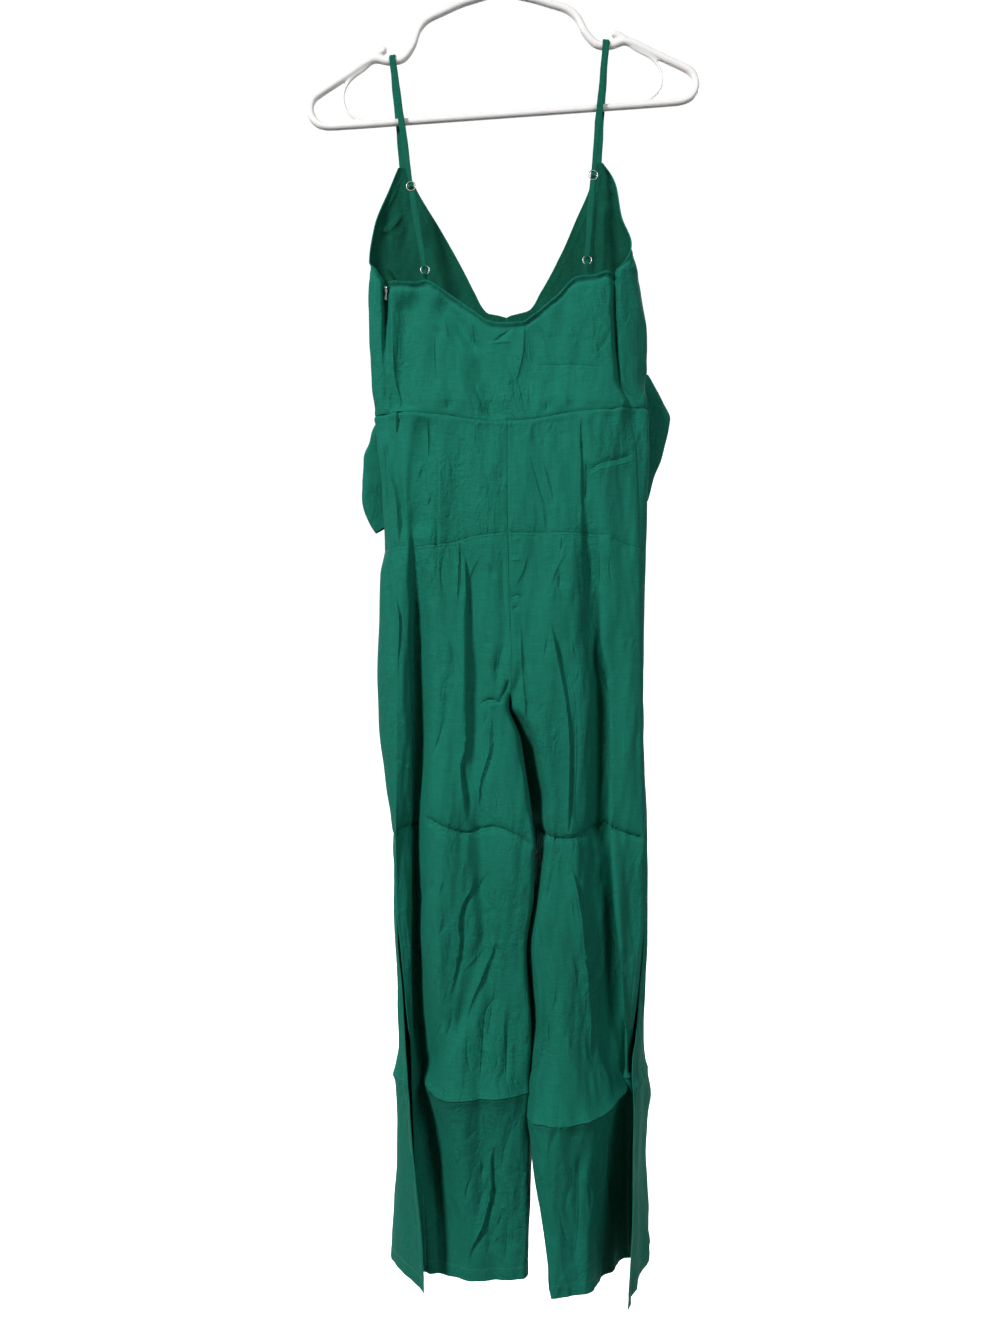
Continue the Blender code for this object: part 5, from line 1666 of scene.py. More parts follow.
@dataclass
class FrontBodice(Panel):
    """One front triangle, from the waist seam up to its strap."""

    rows: int = 132
    foot_level: float | None = WAIST_LEVEL
    crossing: Spot = (-0.428, -0.436)

    def stations(self, z: Array) -> list[Array]:
        """Side seam or armhole, ridge, round, shoulder, middle and inner edge.

        Args:
            z: Heights.

        Returns:
            The stations, in order.
        """
        row = FRONT_BODICE[self.side].at(z)
        lip = pair(BACK_BODICE.at(z), SIDE_NAME[self.side] + "_lip", z)
        names = ("edge", "ridge", "round", "shoulder", "inner")
        edge, ridge, rounded, shoulder, inner = (pair(row, name, z) for name in names)
        middle = (shoulder + inner) / 2
        free = share_between(UNDERARM[self.side], APEX_START[self.side], z)
        before = lerp(lip, edge * 2 - ridge, free)
        return [before, edge, ridge, rounded, shoulder, middle, inner, inner * 2 - middle]

    def levels(self) -> Array:
        """Even rows from the waist to the apex."""
        return np.linspace(WAIST_LEVEL, APEX_TOP[self.side], self.rows)

    def height(self, level: Array, foot_x: Array) -> Array:
        """Follow the waist seam below, level above."""
        return bodice_height(level, foot_x, FRONT_WAIST)

    def edges(self, z: Array) -> list[tuple[Array, Array | float]]:
        """The side is sewn up to the underarm, the centre up to the crossing.

        Args:
            z: Heights.

        Returns:
            For each edge, how far it is sewn and its tuck.
        """
        top = UNDERARM[self.side]
        arm = share_between(top + 0.004, top - 0.004, z)
        return [(arm, self.seam_tuck), (share_between(*self.crossing, z), self.seam_tuck)]

    def finish_ends(self, lift: Array, z: Array, u: Array) -> Array:
        """Tuck the foot into the waist seam and hold the apex still.

        Args:
            lift: The relief so far.
            z: The points' heights.
            u: Their distances across.

        Returns:
            The relief with both ends shaped.
        """
        above = z - z[:1]
        lift = lift * ease(above / 0.010 + 0.1) * ease((z[-1:] - z) / 0.012)
        return lift - self.waist_tuck * bell(above, self.seam_width)


@dataclass
class LegPanel(Panel):
    """What a leg's back and front panels share."""

    rows: int = 400
    hem: float = 0.0125
    waist: Table = field(default_factory=lambda: WAIST)
    hip_level: float = -0.620

    def levels(self) -> Array:
        """Even rows from the waist to the hem."""
        return np.linspace(WAIST_LEVEL, LEG_HEM[self.side], self.rows)

    def height(self, level: Array, foot_x: Array) -> Array:
        """Follow the waist seam above, level from the hip down."""
        fade = share_between(self.hip_level, WAIST_LEVEL, level)
        return level + fade * (self.waist.at(foot_x).z - WAIST_LEVEL - WAIST_GAP / 2)

    def slit_edge(self, z: Array) -> tuple[Array, float]:
        """How far the outer edge is sewn at each height, and its tuck."""
        return share_between(SLIT_TOP - 0.010, SLIT_TOP + 0.004, z), self.seam_tuck

    def inner_edge(self, z: Array) -> tuple[Array, Array]:
        """The centre seam tucks in; the inseam bulges, most where the left leg laps over.

        Args:
            z: Heights.

        Returns:
            How far it is sewn, and its tuck.
        """
        below = share_between(-0.775, -0.825, z)
        lap = share_between(-1.24, -1.12, z) if self.side == LEFT else 0.0
        bulge = 0.0006 + 0.0012 * lap + 0.0008 * bell(z - CROTCH, 0.018)
        return np.ones_like(z), self.seam_tuck * (1 - below) - below * bulge

    def finish_ends(self, lift: Array, z: Array, u: Array) -> Array:
        """Tuck and ridge the waist seam and fold the hem.

        Args:
            lift: The relief so far.
            z: The points' heights.
            u: Their distances across.

        Returns:
            The relief with both ends shaped.
        """
        below = z[:1] - z
        above = z - z[-1:]
        lift = lift * ease(below / 0.012 + 0.08) - self.waist_tuck * bell(below, self.seam_width)
        lift = lift + 0.0007 * bell(below - 0.0036, 0.0020)
        wave = Ripple(int(50 + self.side), 0.0007, (0.018, 0.045), (0.5, 0.9)).lift(u, z)
        return lift + self.folded_edge(above, self.hem) + wave * ease(1 - above / 0.07)

    def plan_stations(self, z: Array) -> tuple[list[Array], list[Array]]:
        """The back and front stations of this leg at each height.

        Args:
            z: Heights.

        Returns:
            The back stations and the front ones.
        """
        side = self.side
        tables = {name: table.at(z) for name, table in LEG[side].items()}
        inner, flat, fold, seam, flap, outline = tables.values()
        open_here = z < SLIT_TOP
        flap_x = np.where(open_here, flap.x, seam.x)
        flap_y = np.where(open_here, flap.y, seam.y)
        edge = spot(seam.x, seam.y, z)
        deep = ease(share_between(0.004, 0.018, np.abs(fold.y - fold.lip_y)))
        fold_x = lerp(fold.x, fold.lip_x, FOLD_SHIFT[side] * deep)
        lip = spot(lerp(fold.lip_x, fold.x, LIP_SHIFT[side] * deep), fold.lip_y, z)
        bulge = spot(0.0, -STRIP_BULGE[side] * ease(share_between(-1.200, -1.080, z)), z)
        brow = lerp(lip, edge, 0.35) + bulge
        strip = lerp(lip, edge, 0.75) + bulge
        hip = lerp(strip, spot(*BODICE_LIP[side], z), ease(share_between(-0.600, -0.550, z)))
        turned = ease(share_between(-0.800, -0.858, z))
        corner = CORNER[side].at(z)
        across = lerp(inner.shoulder, corner.across, turned)
        near = spot(
            inner.x + side * across, flat.back_in * lerp(1.0, corner.depth, turned), z
        )
        crest = spot(inner.x + side * (across + corner.crest), flat.back_in, z)
        far = spot(fold.x - side * FOLD_WIDTH[side].at(z).width, flat.back_out, z)
        broad_x = lerp(crest[0], far[0], BROAD_OUT)
        broad = spot(broad_x, lerp(crest[1], far[1], BROAD_DROP[side]), z)
        back = [
            spot(inner.x, inner.back_y, z), near, crest, broad, far,
            spot(fold_x, fold.y, z), lip, brow, hip, edge,
        ]
        shoulder = spot(outline.x - side * OUTER_SHOULDER, flat.front_out, z)
        inside = spot(inner.x + side * inner.shoulder, flat.front_in, z)
        front = [
            spot(flap_x, flap_y, z), spot(outline.x, outline.y, z), shoulder,
            (shoulder + inside) / 2, inside, spot(inner.x, inner.front_y, z),
        ]
        return back, front


@dataclass
class BackLeg(LegPanel):
    """A leg's back panel, from the centre seam or inseam to the side seam or slit."""

    def stations(self, z: Array) -> list[Array]:
        """The back stations between their neighbours on the front.

        Args:
            z: Heights.

        Returns:
            The stations, in order.
        """
        back, front = self.plan_stations(z)
        mirror = spot(2 * back[0][0] - back[1][0], back[0][1], z)
        before = lerp(mirror, front[-2], share_between(CLOSED_ABOVE, CROTCH, z))
        opened = share_between(SLIT_TOP, SLIT_OPEN, z)
        return [before, *back, lerp(front[1], back[-1] * 2 - back[-2], opened)]

    def edges(self, z: Array) -> list[tuple[Array, Array | float]]:
        """The inseam all the way, the side down to the slit."""
        return [self.inner_edge(z), self.slit_edge(z)]


@dataclass
class FrontLeg(LegPanel):
    """A leg's front panel, which wraps round the outline to the back."""

    waist: Table = field(default_factory=lambda: FRONT_WAIST)

    def stations(self, z: Array) -> list[Array]:
        """The front stations between their neighbours on the back.

        Args:
            z: Heights.

        Returns:
            The stations, in order.
        """
        back, front = self.plan_stations(z)
        mirror = spot(2 * front[-1][0] - front[-2][0], front[-1][1], z)
        after = lerp(mirror, back[1], share_between(CLOSED_ABOVE, CROTCH, z))
        opened = share_between(SLIT_TOP, SLIT_OPEN, z)
        return [lerp(back[-2], front[0] * 2 - front[1], opened), *front, after]

    def edges(self, z: Array) -> list[tuple[Array, Array | float]]:
        """The side down to the slit, the inseam all the way."""
        return [self.slit_edge(z), self.inner_edge(z)]


# Stitching ------------------------------------------------------------------------------------


@dataclass
class Stitching:
    """Rows of small stitches, kept together as one joined mesh."""

    length: float = 0.0021
    gap: float = 0.0009
    radius: float = 0.00017
    spots: list[tuple[Array, Array, Array]] = field(default_factory=list)

    def along(self, points: Array, normals: Array) -> None:
        """Add a row of stitches on a line of points with their normals.

        Args:
            points: The line's points.
            normals: Their normals.
        """
        far = run_lengths(points)
        marks = np.arange(self.length, far[-1] - self.length, self.length + self.gap)
        middles = read_line(marks, far, points)
        ahead = read_line(marks + self.length / 2, far, points)
        lifted = unit(read_line(marks, far, normals))
        self.spots += list(zip(middles, unit(ahead - middles), lifted))

    def build(self, finish: Wardrobe) -> None:
        """Model one stitch and copy it to every place, as one piece.

        Args:
            finish: The finishes.
        """
        deselect()
        bpy.ops.mesh.primitive_cylinder_add(vertices=6, radius=self.radius, depth=self.length)
        stitch = bpy.context.object
        modify(stitch, "BEVEL", width=self.radius * 0.6, segments=1)
        apply_modifiers(stitch)
        shape = vertex_values(stitch.data)
        faces = [tuple(p.vertices) for p in stitch.data.polygons]
        bpy.data.objects.remove(stitch)
        points = []
        polygons = []
        for middle, way, up in self.spots:
            side = np.cross(way, up)
            base = len(points) * len(shape)
            placed = shape @ np.array([side, np.cross(side, way), way])
            points.append(placed + middle + up * self.radius * 0.35)
            polygons += [tuple(index + base for index in face) for face in faces]
        mesh = bpy.data.meshes.new("stitches")
        mesh.from_pydata(np.concatenate(points).tolist(), [], polygons)
        piece = add_object("stitches", mesh)
        bpy.ops.object.shade_smooth()
        dress(piece, "stitching", finish.thread)


# The garment ----------------------------------------------------------------------------------


@dataclass
class Garment:
    """Bodice and legs, sewn at the waist, with their rolled edges and stitching."""

    finish: Wardrobe
    roll: float = 0.00075
    roll_foot: float = -0.4400
    allowance: float = 0.0009
    allowance_depth: float = 0.0014
    crossing: float = -0.4335
    arm_clear: float = 0.002
    neck_inset: float = 0.0060
    front_clear: float = 0.006
    apex_clear: float = 0.022
    hem_clear: float = 0.004
    slit_clear: float = 0.012
    panels: dict[str, Panel] = field(default_factory=dict)

    def build(self) -> None:
        """Make every panel, then the edges and stitches that follow them."""
        self.add(BackBodice(
            RIGHT, "back_bodice", Cut(0.28, 0.17, 0.037), (10, 14, 36, 32, 11, 9),
            BODICE_BACK_CREASES, BODICE_RIPPLES,
        ))
        for side, name in SIDE_NAME.items():
            self.add(FrontBodice(
                side, "front_bodice_" + name, Cut(0.22, 0.29, 0.0366), (8, 10, 9, 22, 22),
                BODICE_FRONT_CREASES[side], BODICE_RIPPLES,
            ))
            self.add(BackLeg(
                side, "back_leg_" + name, Cut(0.24, 0.95, 0.160),
                (8, 6, 22, 22, 18, 16, 6, 8, 8),
                BACK_LEG_CREASES[side] + STRIP_CREASES[side] + LEG_SCATTER[side],
                LEG_RIPPLES[side],
            ))
            self.add(FrontLeg(
                side, "front_leg_" + name, Cut(0.26, 0.95, 0.190), (14, 13, 18, 17, 10),
                FRONT_LEG_CREASES[side] + LEG_SCATTER[side], LEG_RIPPLES[side],
            ))
        self.roll_edges()
        self.close_seams()
        self.stitch()

    def add(self, panel: Panel) -> None:
        """Build one panel and keep it by name."""
        panel.build(self.finish)
        self.panels[panel.name] = panel

    def roll_edges(self) -> None:
        """Thin turned rolls along the neckline, the front edges and the armholes."""
        self.trim("neck_roll_back", self.panels["back_bodice"].points[-1, 1:-1], self.roll)
        for side, name in SIDE_NAME.items():
            points = self.panels["front_bodice_" + name].points
            arm = points[points[:, 0, 2] > UNDERARM[side] + self.arm_clear, 0]
            self.trim("arm_roll_" + name, arm, self.roll)
            inner = points[points[:, -1, 2] > self.roll_foot, -1]
            self.trim("neck_roll_" + name, inner, self.roll)

    def close_seams(self) -> None:
        """Seam allowances along the centre front and back, so no light shows between panels."""
        for part, column, low, high in (
            ("front_bodice_", -1, -0.540, -0.436), ("front_leg_", -1, CROTCH, -0.550),
            ("back_leg_", 0, CROTCH, -0.556),
        ):
            panel = self.panels[part + SIDE_NAME[LEFT]]
            edge = panel.points[:, column]
            kept = (edge[:, 2] > low) & (edge[:, 2] < high)
            route = edge[kept] - panel.normals[:, column][kept] * self.allowance_depth
            route[:, 0] += self.allowance_depth / 5
            self.trim(part + "seam_allowance", route, self.allowance)

    def trim(self, name: str, route: Array, radius: float) -> None:
        """A thin tube of cloth along a route, with a cloth map that runs with its length.

        Args:
            name: The tube's name.
            route: Its middle line.
            radius: Its radius.
        """
        tube = make_tube(route, radius, 2)
        place = vertex_values(tube.data)
        set_map(tube.data, "cloth", np.stack([place[:, 0] + place[:, 1], place[:, 2]], -1))
        dress(tube, name, self.finish.cloth)

    def stitch(self) -> None:
        """Sew the neckline, front edges, armholes, slits and hems."""
        rows = Stitching()
        rows.along(*self.panels["back_bodice"].line_across(self.neck_inset))
        for side, name in SIDE_NAME.items():
            front = self.panels["front_bodice_" + name]
            for last, low in ((False, UNDERARM[side]), (True, self.crossing)):
                line = front.line_down(last, front.hem_width)
                self.sew(rows, line, low + self.front_clear, APEX_TOP[side] - self.apex_clear)
            for panel, last in (("back_leg_", True), ("front_leg_", False)):
                leg = self.panels[panel + name]
                rows.along(*leg.line_across(leg.hem))
                line = leg.line_down(last, leg.hem_width)
                low = LEG_HEM[side] + self.hem_clear
                self.sew(rows, line, low, SLIT_TOP - self.slit_clear)
        rows.build(self.finish)

    def sew(self, rows: Stitching, line: tuple[Array, Array], low: float, high: float) -> None:
        """Stitch the part of a line that lies between two heights.

        Args:
            rows: The stitching.
            line: The points and their normals.
            low: The lower height.
            high: The upper height.
        """
        points, normals = line
        kept = (points[:, 2] > low) & (points[:, 2] < high)
        rows.along(points[kept], normals[kept])


# Straps, rings and sliders --------------------------------------------------------------------


@dataclass
class StrapSet:
    """One thin folded strap with its slider, its ring and the loop that holds the ring."""

    side: float
    finish: Wardrobe
    width: float = 0.0072
    gathered: float = 0.0046
    thickness: float = 0.0012
    solid_thickness: float = 0.0008
    clearance: float = 0.0004
    sewn_in: float = 0.0055
    neck_cloth: float = 0.0012
    neck_gap: float = 0.0003
    ring_radius: float = 0.0046
    ring_dip: float = 0.0024
    slider_radius: float = 0.0048
    wire: float = 0.0005
    sides: int = 16
    steps: int = 5

    def __post_init__(self) -> None:
        """Read this side's places and how far the strap's middle passes from a wire's."""
        self.places = STRAPS[self.side]
        self.label = SIDE_NAME[self.side]
        self.turn = self.wire + self.solid_thickness / 2 + self.clearance

    def build(self) -> None:
        """Make the strap, the hardware and the loop."""
        route = self.route()
        sewn = route[0][0] - unit(route[1][0] - route[0][0]) * self.sewn_in
        route[0] = (sewn, self.width)
        node, name = "strap_" + self.label, "strap_cloth_" + self.label
        self.ribbon(node, name, route, self.across(len(route)))
        self.ring("slider", self.places.slider, self.slider_radius, True)
        self.ring("ring", self.places.ring, self.ring_radius, False)
        self.loop()

    def route(self) -> list[tuple[Array, float]]:
        """Points and widths: apex, over the hanger, slider, round the ring and back.

        Returns:
            The points and widths.
        """
        apex, hanger, slider, ring = (np.array(p, float) for p in self.places)
        over = HANGER_TUBE + 0.0008 + self.solid_thickness / 2
        turn = self.turn
        toward = np.array([0.0, 1.0, 0.0])
        front_top = hanger + toward * over
        back_top = hanger - toward * over
        route = [(lerp(apex, front_top, share), self.width) for share in (0.0, 0.15, 0.3, 0.65, 0.9)]
        for angle in np.linspace(0.0, math.pi, 17):
            swing = np.array([0, over * math.cos(angle), over * math.sin(angle)])
            route.append((hanger + swing, self.width))
        route += [(lerp(back_top, slider, share), self.width) for share in (0.1, 0.3, 0.6)]
        down = unit(slider - back_top)
        for along, depth in (
            (-0.0080, turn), (-0.0033, turn), (-0.0010, -turn), (0.0010, -turn),
            (0.0033, turn), (0.0060, turn),
        ):
            route.append((slider + down * along + toward * depth, self.gathered))
        fall = unit(ring - slider)
        length = np.linalg.norm(ring - slider)
        for along, width in ((0.011, 0.0058), (0.5 * length, 0.0068), (0.86 * length, 0.0054)):
            route.append((slider + fall * along - toward * turn, width))
        route += self.half_turn(ring - fall * self.ring_radius, -toward, fall)
        for along, width in ((0.86 * length, 0.0054), (0.5 * length, 0.0068), (0.013, 0.0058)):
            route.append((slider + fall * along + toward * turn, width))
        return route

    def half_turn(self, rim: Array, start: Array, dip: Array) -> list[tuple[Array, float]]:
        """A gathered half turn round a ring's wire.

        Args:
            rim: The wire's middle.
            start: The way from it to the turn's start.
            dip: The way that the turn bulges.

        Returns:
            Its points and widths.
        """
        return [
            (
                rim + dip * (self.ring_dip * math.sin(angle)) + start * (self.turn * math.cos(angle)),
                self.gathered,
            )
            for angle in np.linspace(0.0, math.pi, 9)
        ]

    def across(self, count: int) -> Array:
        """Width directions, turned evenly from the front run to the back run.

        Args:
            count: How many points the route has.

        Returns:
            A direction for each point.
        """
        front = np.array(self.places.hanger - self.places.apex, float)
        back = np.array(self.places.hanger - self.places.ring, float)
        leans = [lerp(front, back, float(share_between(4, 22, step))) for step in range(count)]
        return np.array([unit(np.array([lean[2], 0.0, -lean[0]])) for lean in leans])

    def ribbon(
        self, node: str, name: str, route: list[tuple[Array, float]], across: Array
    ) -> None:
        """Sweep a rounded ribbon section along a route and dress it with a cloth map.

        Args:
            node: The node that it stands for.
            name: The piece's name.
            route: Points of the middle line with the widths there.
            across: The width direction at each point.
        """
        points = smooth_line([p for p, _ in route], self.steps)
        marks = np.arange(len(points)) / self.steps
        widths = np.interp(marks, range(len(route)), [w for _, w in route])
        ahead = unit(np.gradient(points, axis=0))
        wide = read_line(marks, range(len(route)), across)
        wide = unit(wide - ahead * (wide * ahead).sum(-1, keepdims=True))
        thick = np.cross(ahead, wide)
        angles = 2 * math.pi * np.arange(self.sides) / self.sides
        flat = np.sign(np.cos(angles)) * np.abs(np.cos(angles)) ** 0.75
        crown = np.sin(angles)
        far = run_lengths(points)
        pinch = 1 + 0.06 * np.sin(far / 0.0115) + 0.04 * np.sin(far / 0.0047 + 1.0)
        taper = np.ones(len(points))
        taper[[0, -1]] = 0.55
        half_wide = widths * pinch * taper / 2
        half_thick = self.thickness * taper / 2
        seam = 1 - 0.45 * bell(flat, 0.16) * (crown > 0)
        rings = (
            points[:, None]
            + wide[:, None] * (half_wide[:, None] * flat)[..., None]
            + thick[:, None] * (half_thick[:, None] * crown * seam)[..., None]
        )
        work = bmesh.new()
        layer = work.loops.layers.uv.new("cloth")
        around = 2 * self.width / self.sides
        loops = [[work.verts.new(p) for p in ring] for ring in rings]
        for index, (start, end) in enumerate(zip(loops, loops[1:])):
            for i in range(self.sides):
                j = (i + 1) % self.sides
                face = work.faces.new((start[i], start[j], end[j], end[i]))
                corners = ((i, index), (i + 1, index), (i + 1, index + 1), (i, index + 1))
                for loop, (a, b) in zip(face.loops, corners):
                    loop[layer].uv = (a * around, far[b])
        work.faces.new(loops[0][::-1])
        work.faces.new(loops[-1])
        bmesh.ops.recalc_face_normals(work, faces=work.faces)
        mesh = bpy.data.meshes.new("ribbon")
        work.to_mesh(mesh)
        work.free()
        piece = add_object("ribbon", mesh)
        bpy.ops.object.shade_smooth_by_angle(angle=math.radians(70))
        # The strap finish is the cloth darkened as painted shade.
        dress(piece, name, self.finish.strap_fabric_painted_shade, [node])

    def ring(self, label: str, centre: Vector, radius: float, bar: bool) -> None:
        """A plated wire ring facing back, with a bar across it if it is a slider.

        Args:
            label: What it is, in its names.
            centre: Its middle.
            radius: Its wire's radius from there.
            bar: Whether it has a bar.
        """
        deselect()
        bpy.ops.mesh.primitive_torus_add(
            location=centre, rotation=(math.pi / 2, 0, 0), major_radius=radius,
            minor_radius=self.wire, major_segments=64, minor_segments=16,
        )
        pieces = [bpy.context.object]
        if bar:
            deselect()
            bpy.ops.mesh.primitive_cylinder_add(
                vertices=16, radius=self.wire * 0.9, depth=2 * radius, location=centre,
                rotation=(0, math.pi / 2, 0),
            )
            pieces.append(bpy.context.object)
            for end in (-1, 1):
                deselect()
                bpy.ops.mesh.primitive_uv_sphere_add(
                    segments=16, ring_count=8, radius=self.wire * 1.25,
                    location=centre + Vector((end * radius, 0, 0)),
                )
                pieces.append(bpy.context.object)
        piece = join(pieces)
        settle(piece)
        bpy.ops.object.shade_smooth()
        node = label + "_" + self.label
        dress(piece, label + "_wire_" + self.label, self.finish.metal, [node])

    def loop(self) -> None:
        """The short folded loop from behind the neckline, through the ring and back."""
        ring = np.array(self.places.ring, float)
        top = float(NECKLINE.at(ring[0]).z)
        inner_face = float(BACK_BODICE.at(top).flat_y) + self.neck_cloth + self.neck_gap
        inside = inner_face + self.solid_thickness / 2
        behind = inside + self.solid_thickness + self.clearance
        down = np.array([0.0, 0.0, 1.0])
        route = [(np.array([ring[0], inside, top + drop]), self.gathered) for drop in (-0.008, 0.0)]
        route += self.half_turn(ring - down * self.ring_radius, np.array([0.0, -1.0, 0.0]), down)
        route += [
            (np.array([ring[0], behind, top + drop]), self.gathered) for drop in (0.0, -0.0075)
        ]
        node = "strap_loop_" + self.label
        self.ribbon(node, node + "_cloth", route, np.array([[1.0, 0.0, 0.0]] * len(route)))


# The bow --------------------------------------------------------------------------------------


@dataclass
class Bow:
    """A sash tied at the front of the waist: knot, two loops and two short tails."""

    finish: Wardrobe
    neck: float = 0.032
    gathers: float = 4.5
    thickness: float = 0.0008
    start: float = 0.0165
    tail_length: float = 0.185
    tail_drop: float = 0.0205
    tail_place: float = 0.0088
    tail_splay: float = 0.020
    tail_half: float = 0.0078
    tail_flare: float = 0.016
    tail_slant: float = 0.012
    knot_size: Triple = (0.038, 0.020, 0.048)

    def build(self) -> None:
        """Make the knot, both loops and both tails."""
        self.knot()
        for side in (LEFT, RIGHT):
            self.loop(side)
            self.tail(side)

    def shell(self, points: Array, outward: Array, node: str, cut: Cut) -> None:
        """Make a sash piece's shell and dress it."""
        dress_sheet(make_shell(points, outward, self.thickness), node, self.finish)

    def loop(self, side: float) -> None:
        """A wide ribbon that leaves the knot, turns at its tip and comes back.

        Args:
            side: LEFT or RIGHT.
        """
        loop = LOOPS[side]
        start_x = KNOT.x + side * self.start
        columns = (20, 24, 15, 15, 24, 20)
        share = np.linspace(0.0, 1.0, 56)[:, None] + np.zeros(sum(columns) + 1)
        peak, power = (0.42, 1.9) if side == LEFT else (0.66, 1.3)
        off = np.abs(share - peak) / np.where(share < peak, peak, 1 - peak)
        reach = loop.tip_x + side * loop.bulge * (1 - off**power) - start_x

        def stations(_: Array) -> list[Array]:
            """Plan points out to the tip and back.

            Returns:
                The stations, in order.
            """
            middle = [
                spot(start_x + part * reach, y, share)
                for part, y in (
                    (0.0, 0.0335), (0.35, 0.0335), (0.75, 0.0325), (1.0, 0.0385),
                    (0.75, 0.0450), (0.35, 0.0470), (0.0, 0.0430),
                )
            ]
            step = spot(side * 0.01, 0.0, share)
            return [middle[0] - step, *middle, middle[-1] - step]

        guide = Panel(side, "loop", Cut(0, 0, 0), columns)
        guide.stations = stations
        plan, outward = guide.section(share)
        spread = np.clip((plan[..., 0] - start_x) / (loop.tip_x - start_x), 0.0, 1.0)
        grown = spread**0.8
        half = self.neck / 2
        top = KNOT.z + half + (loop.top_z - KNOT.z - half) * grown
        bottom = KNOT.z - half + (loop.bottom_z - KNOT.z + half) * grown
        z = lerp(bottom, top, share)
        points, outward = raised(plan, outward, z)
        normals = surface_normals(points, outward)
        ripple = Ripple(90 + int(side), 0.0006, (0.03, 0.07), (0.03, 0.09))
        lift = self.gather_lift(side, share, spread) + ripple.lift(cloth_map(points)[..., 0], z)
        size = (0.14, 0.26, 0.025) if side == LEFT else (0.16, 0.30, 0.0325)
        cut = Cut(*size, "gathered", "bow_knot_cloth")
        points = points + normals * lift[..., None]
        self.shell(points, normals, "bow_loop_" + SIDE_NAME[side], cut)

    def gather_lift(self, side: float, share: Array, spread: Array) -> Array:
        """Gathers that fan out from the knot and die away towards the tip.

        Args:
            side: LEFT or RIGHT.
            share: Shares of the height.
            spread: Shares of the reach from the knot.

        Returns:
            The relief there.
        """
        wander = share + 0.05 * np.sin(9 * spread + 2 * side)
        waves = np.cos(2 * math.pi * self.gathers * wander + 0.8 * side)
        waves = waves + 0.5 * np.cos(2 * math.pi * 7.3 * wander + 1.7)
        return 0.0013 * waves * np.exp(-spread / 0.38) * ease(spread / 0.05 + 0.3)

    def tail(self, side: float) -> None:
        """A flat end that hangs from the knot, cut on a slant.

        Args:
            side: LEFT or RIGHT.
        """
        rows, columns = 96, 28
        share = np.linspace(0.0, 1.0, rows)[:, None] + np.zeros(columns)
        across = np.linspace(-1.0, 1.0, columns) + np.zeros((rows, 1))
        centre_x = KNOT.x + side * (self.tail_place + self.tail_splay * share)
        x = centre_x + across * (self.tail_half + self.tail_flare * share)
        slant = side * across * self.tail_slant * share
        z = KNOT.z - self.tail_drop - self.tail_length * share - slant
        y = 0.0400 - 0.0030 * share + 0.0012 * share * np.cos(math.pi * across)
        waves = np.cos(math.pi * 2.5 * across + 0.6) * (0.0010 - 0.0006 * share)
        y = y + waves + 0.0009 * share * np.sin(2 * math.pi * share * 2.1 + side)
        points = np.stack([x, y, z], axis=-1)
        outward = np.zeros_like(points)
        outward[..., 1] = 1.0
        cut = Cut(0.05, 0.19, 0.0062, "hung", "bow_knot_cloth")
        self.shell(points, outward, "bow_tail_" + SIDE_NAME[side], cut)

    def knot(self) -> None:
        """A soft block wrapped by the sash, with slanting folds over it."""
        deselect()
        bpy.ops.mesh.primitive_cube_add(size=1.0, location=KNOT)
        knot = bpy.context.object
        knot.scale = self.knot_size
        settle(knot)
        modify(knot, "SUBSURF", levels=5, render_levels=5)
        apply_modifiers(knot)
        mesh = knot.data
        points = vertex_values(mesh)
        x, _, z = (points - np.array(KNOT)).T
        slant = x * (1 + 10 * np.abs(z)) + 0.18 * z
        folds = 0.0008 * np.cos(2 * math.pi * slant / 0.0082 + 0.6)
        folds = folds + 0.0005 * np.cos(2 * math.pi * slant / 0.0051 + 2.0)
        lift = folds - 0.0012 * bell(z, 0.008)
        points = points + vertex_values(mesh, "normal") * lift[:, None]
        mesh.vertices.foreach_set("co", points.reshape(-1))
        set_map(mesh, "cloth", points[:, [0, 2]])
        mesh.update()
        bpy.ops.object.shade_smooth()
        dress(knot, "bow_knot_cloth", self.finish.cloth, ["bow_knot"])


# The zip --------------------------------------------------------------------------------------


@dataclass
class Zip:
    """The concealed zip's slider and its teardrop pull at the top of the left side seam."""

    finish: Wardrobe
    edge: float = 0.00012
    sharp: float = math.radians(40)

    def build(self) -> None:
        """Round off copies of the solids' meshes."""
        self.refine("zip_slider", "zip_slider_body", self.finish.metal, BODY)
        self.refine("zip_pull", "zip_pull_plate", self.finish.enamel, "zip_pull")

    def refine(self, node: str, name: str, material: Material, body: str) -> None:
        """Copy a node's mesh, merge it and round its edges.

        Args:
            node: The node.
            name: The piece's name.
            material: Its finish.
            body: The body that it moves with.
        """
        piece = add_object(name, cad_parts[node].data.copy())
        merge_doubles(piece)
        edit_whole(piece, bpy.ops.mesh.dissolve_limited, angle_limit=math.radians(1))
        modify(
            piece, "BEVEL", width=self.edge, segments=2, limit_method="ANGLE",
            angle_limit=self.sharp,
        )
        apply_modifiers(piece)
        bpy.ops.object.shade_smooth_by_angle(angle=self.sharp)
        dress(piece, name, material, [node], body)


# The hanger -----------------------------------------------------------------------------------


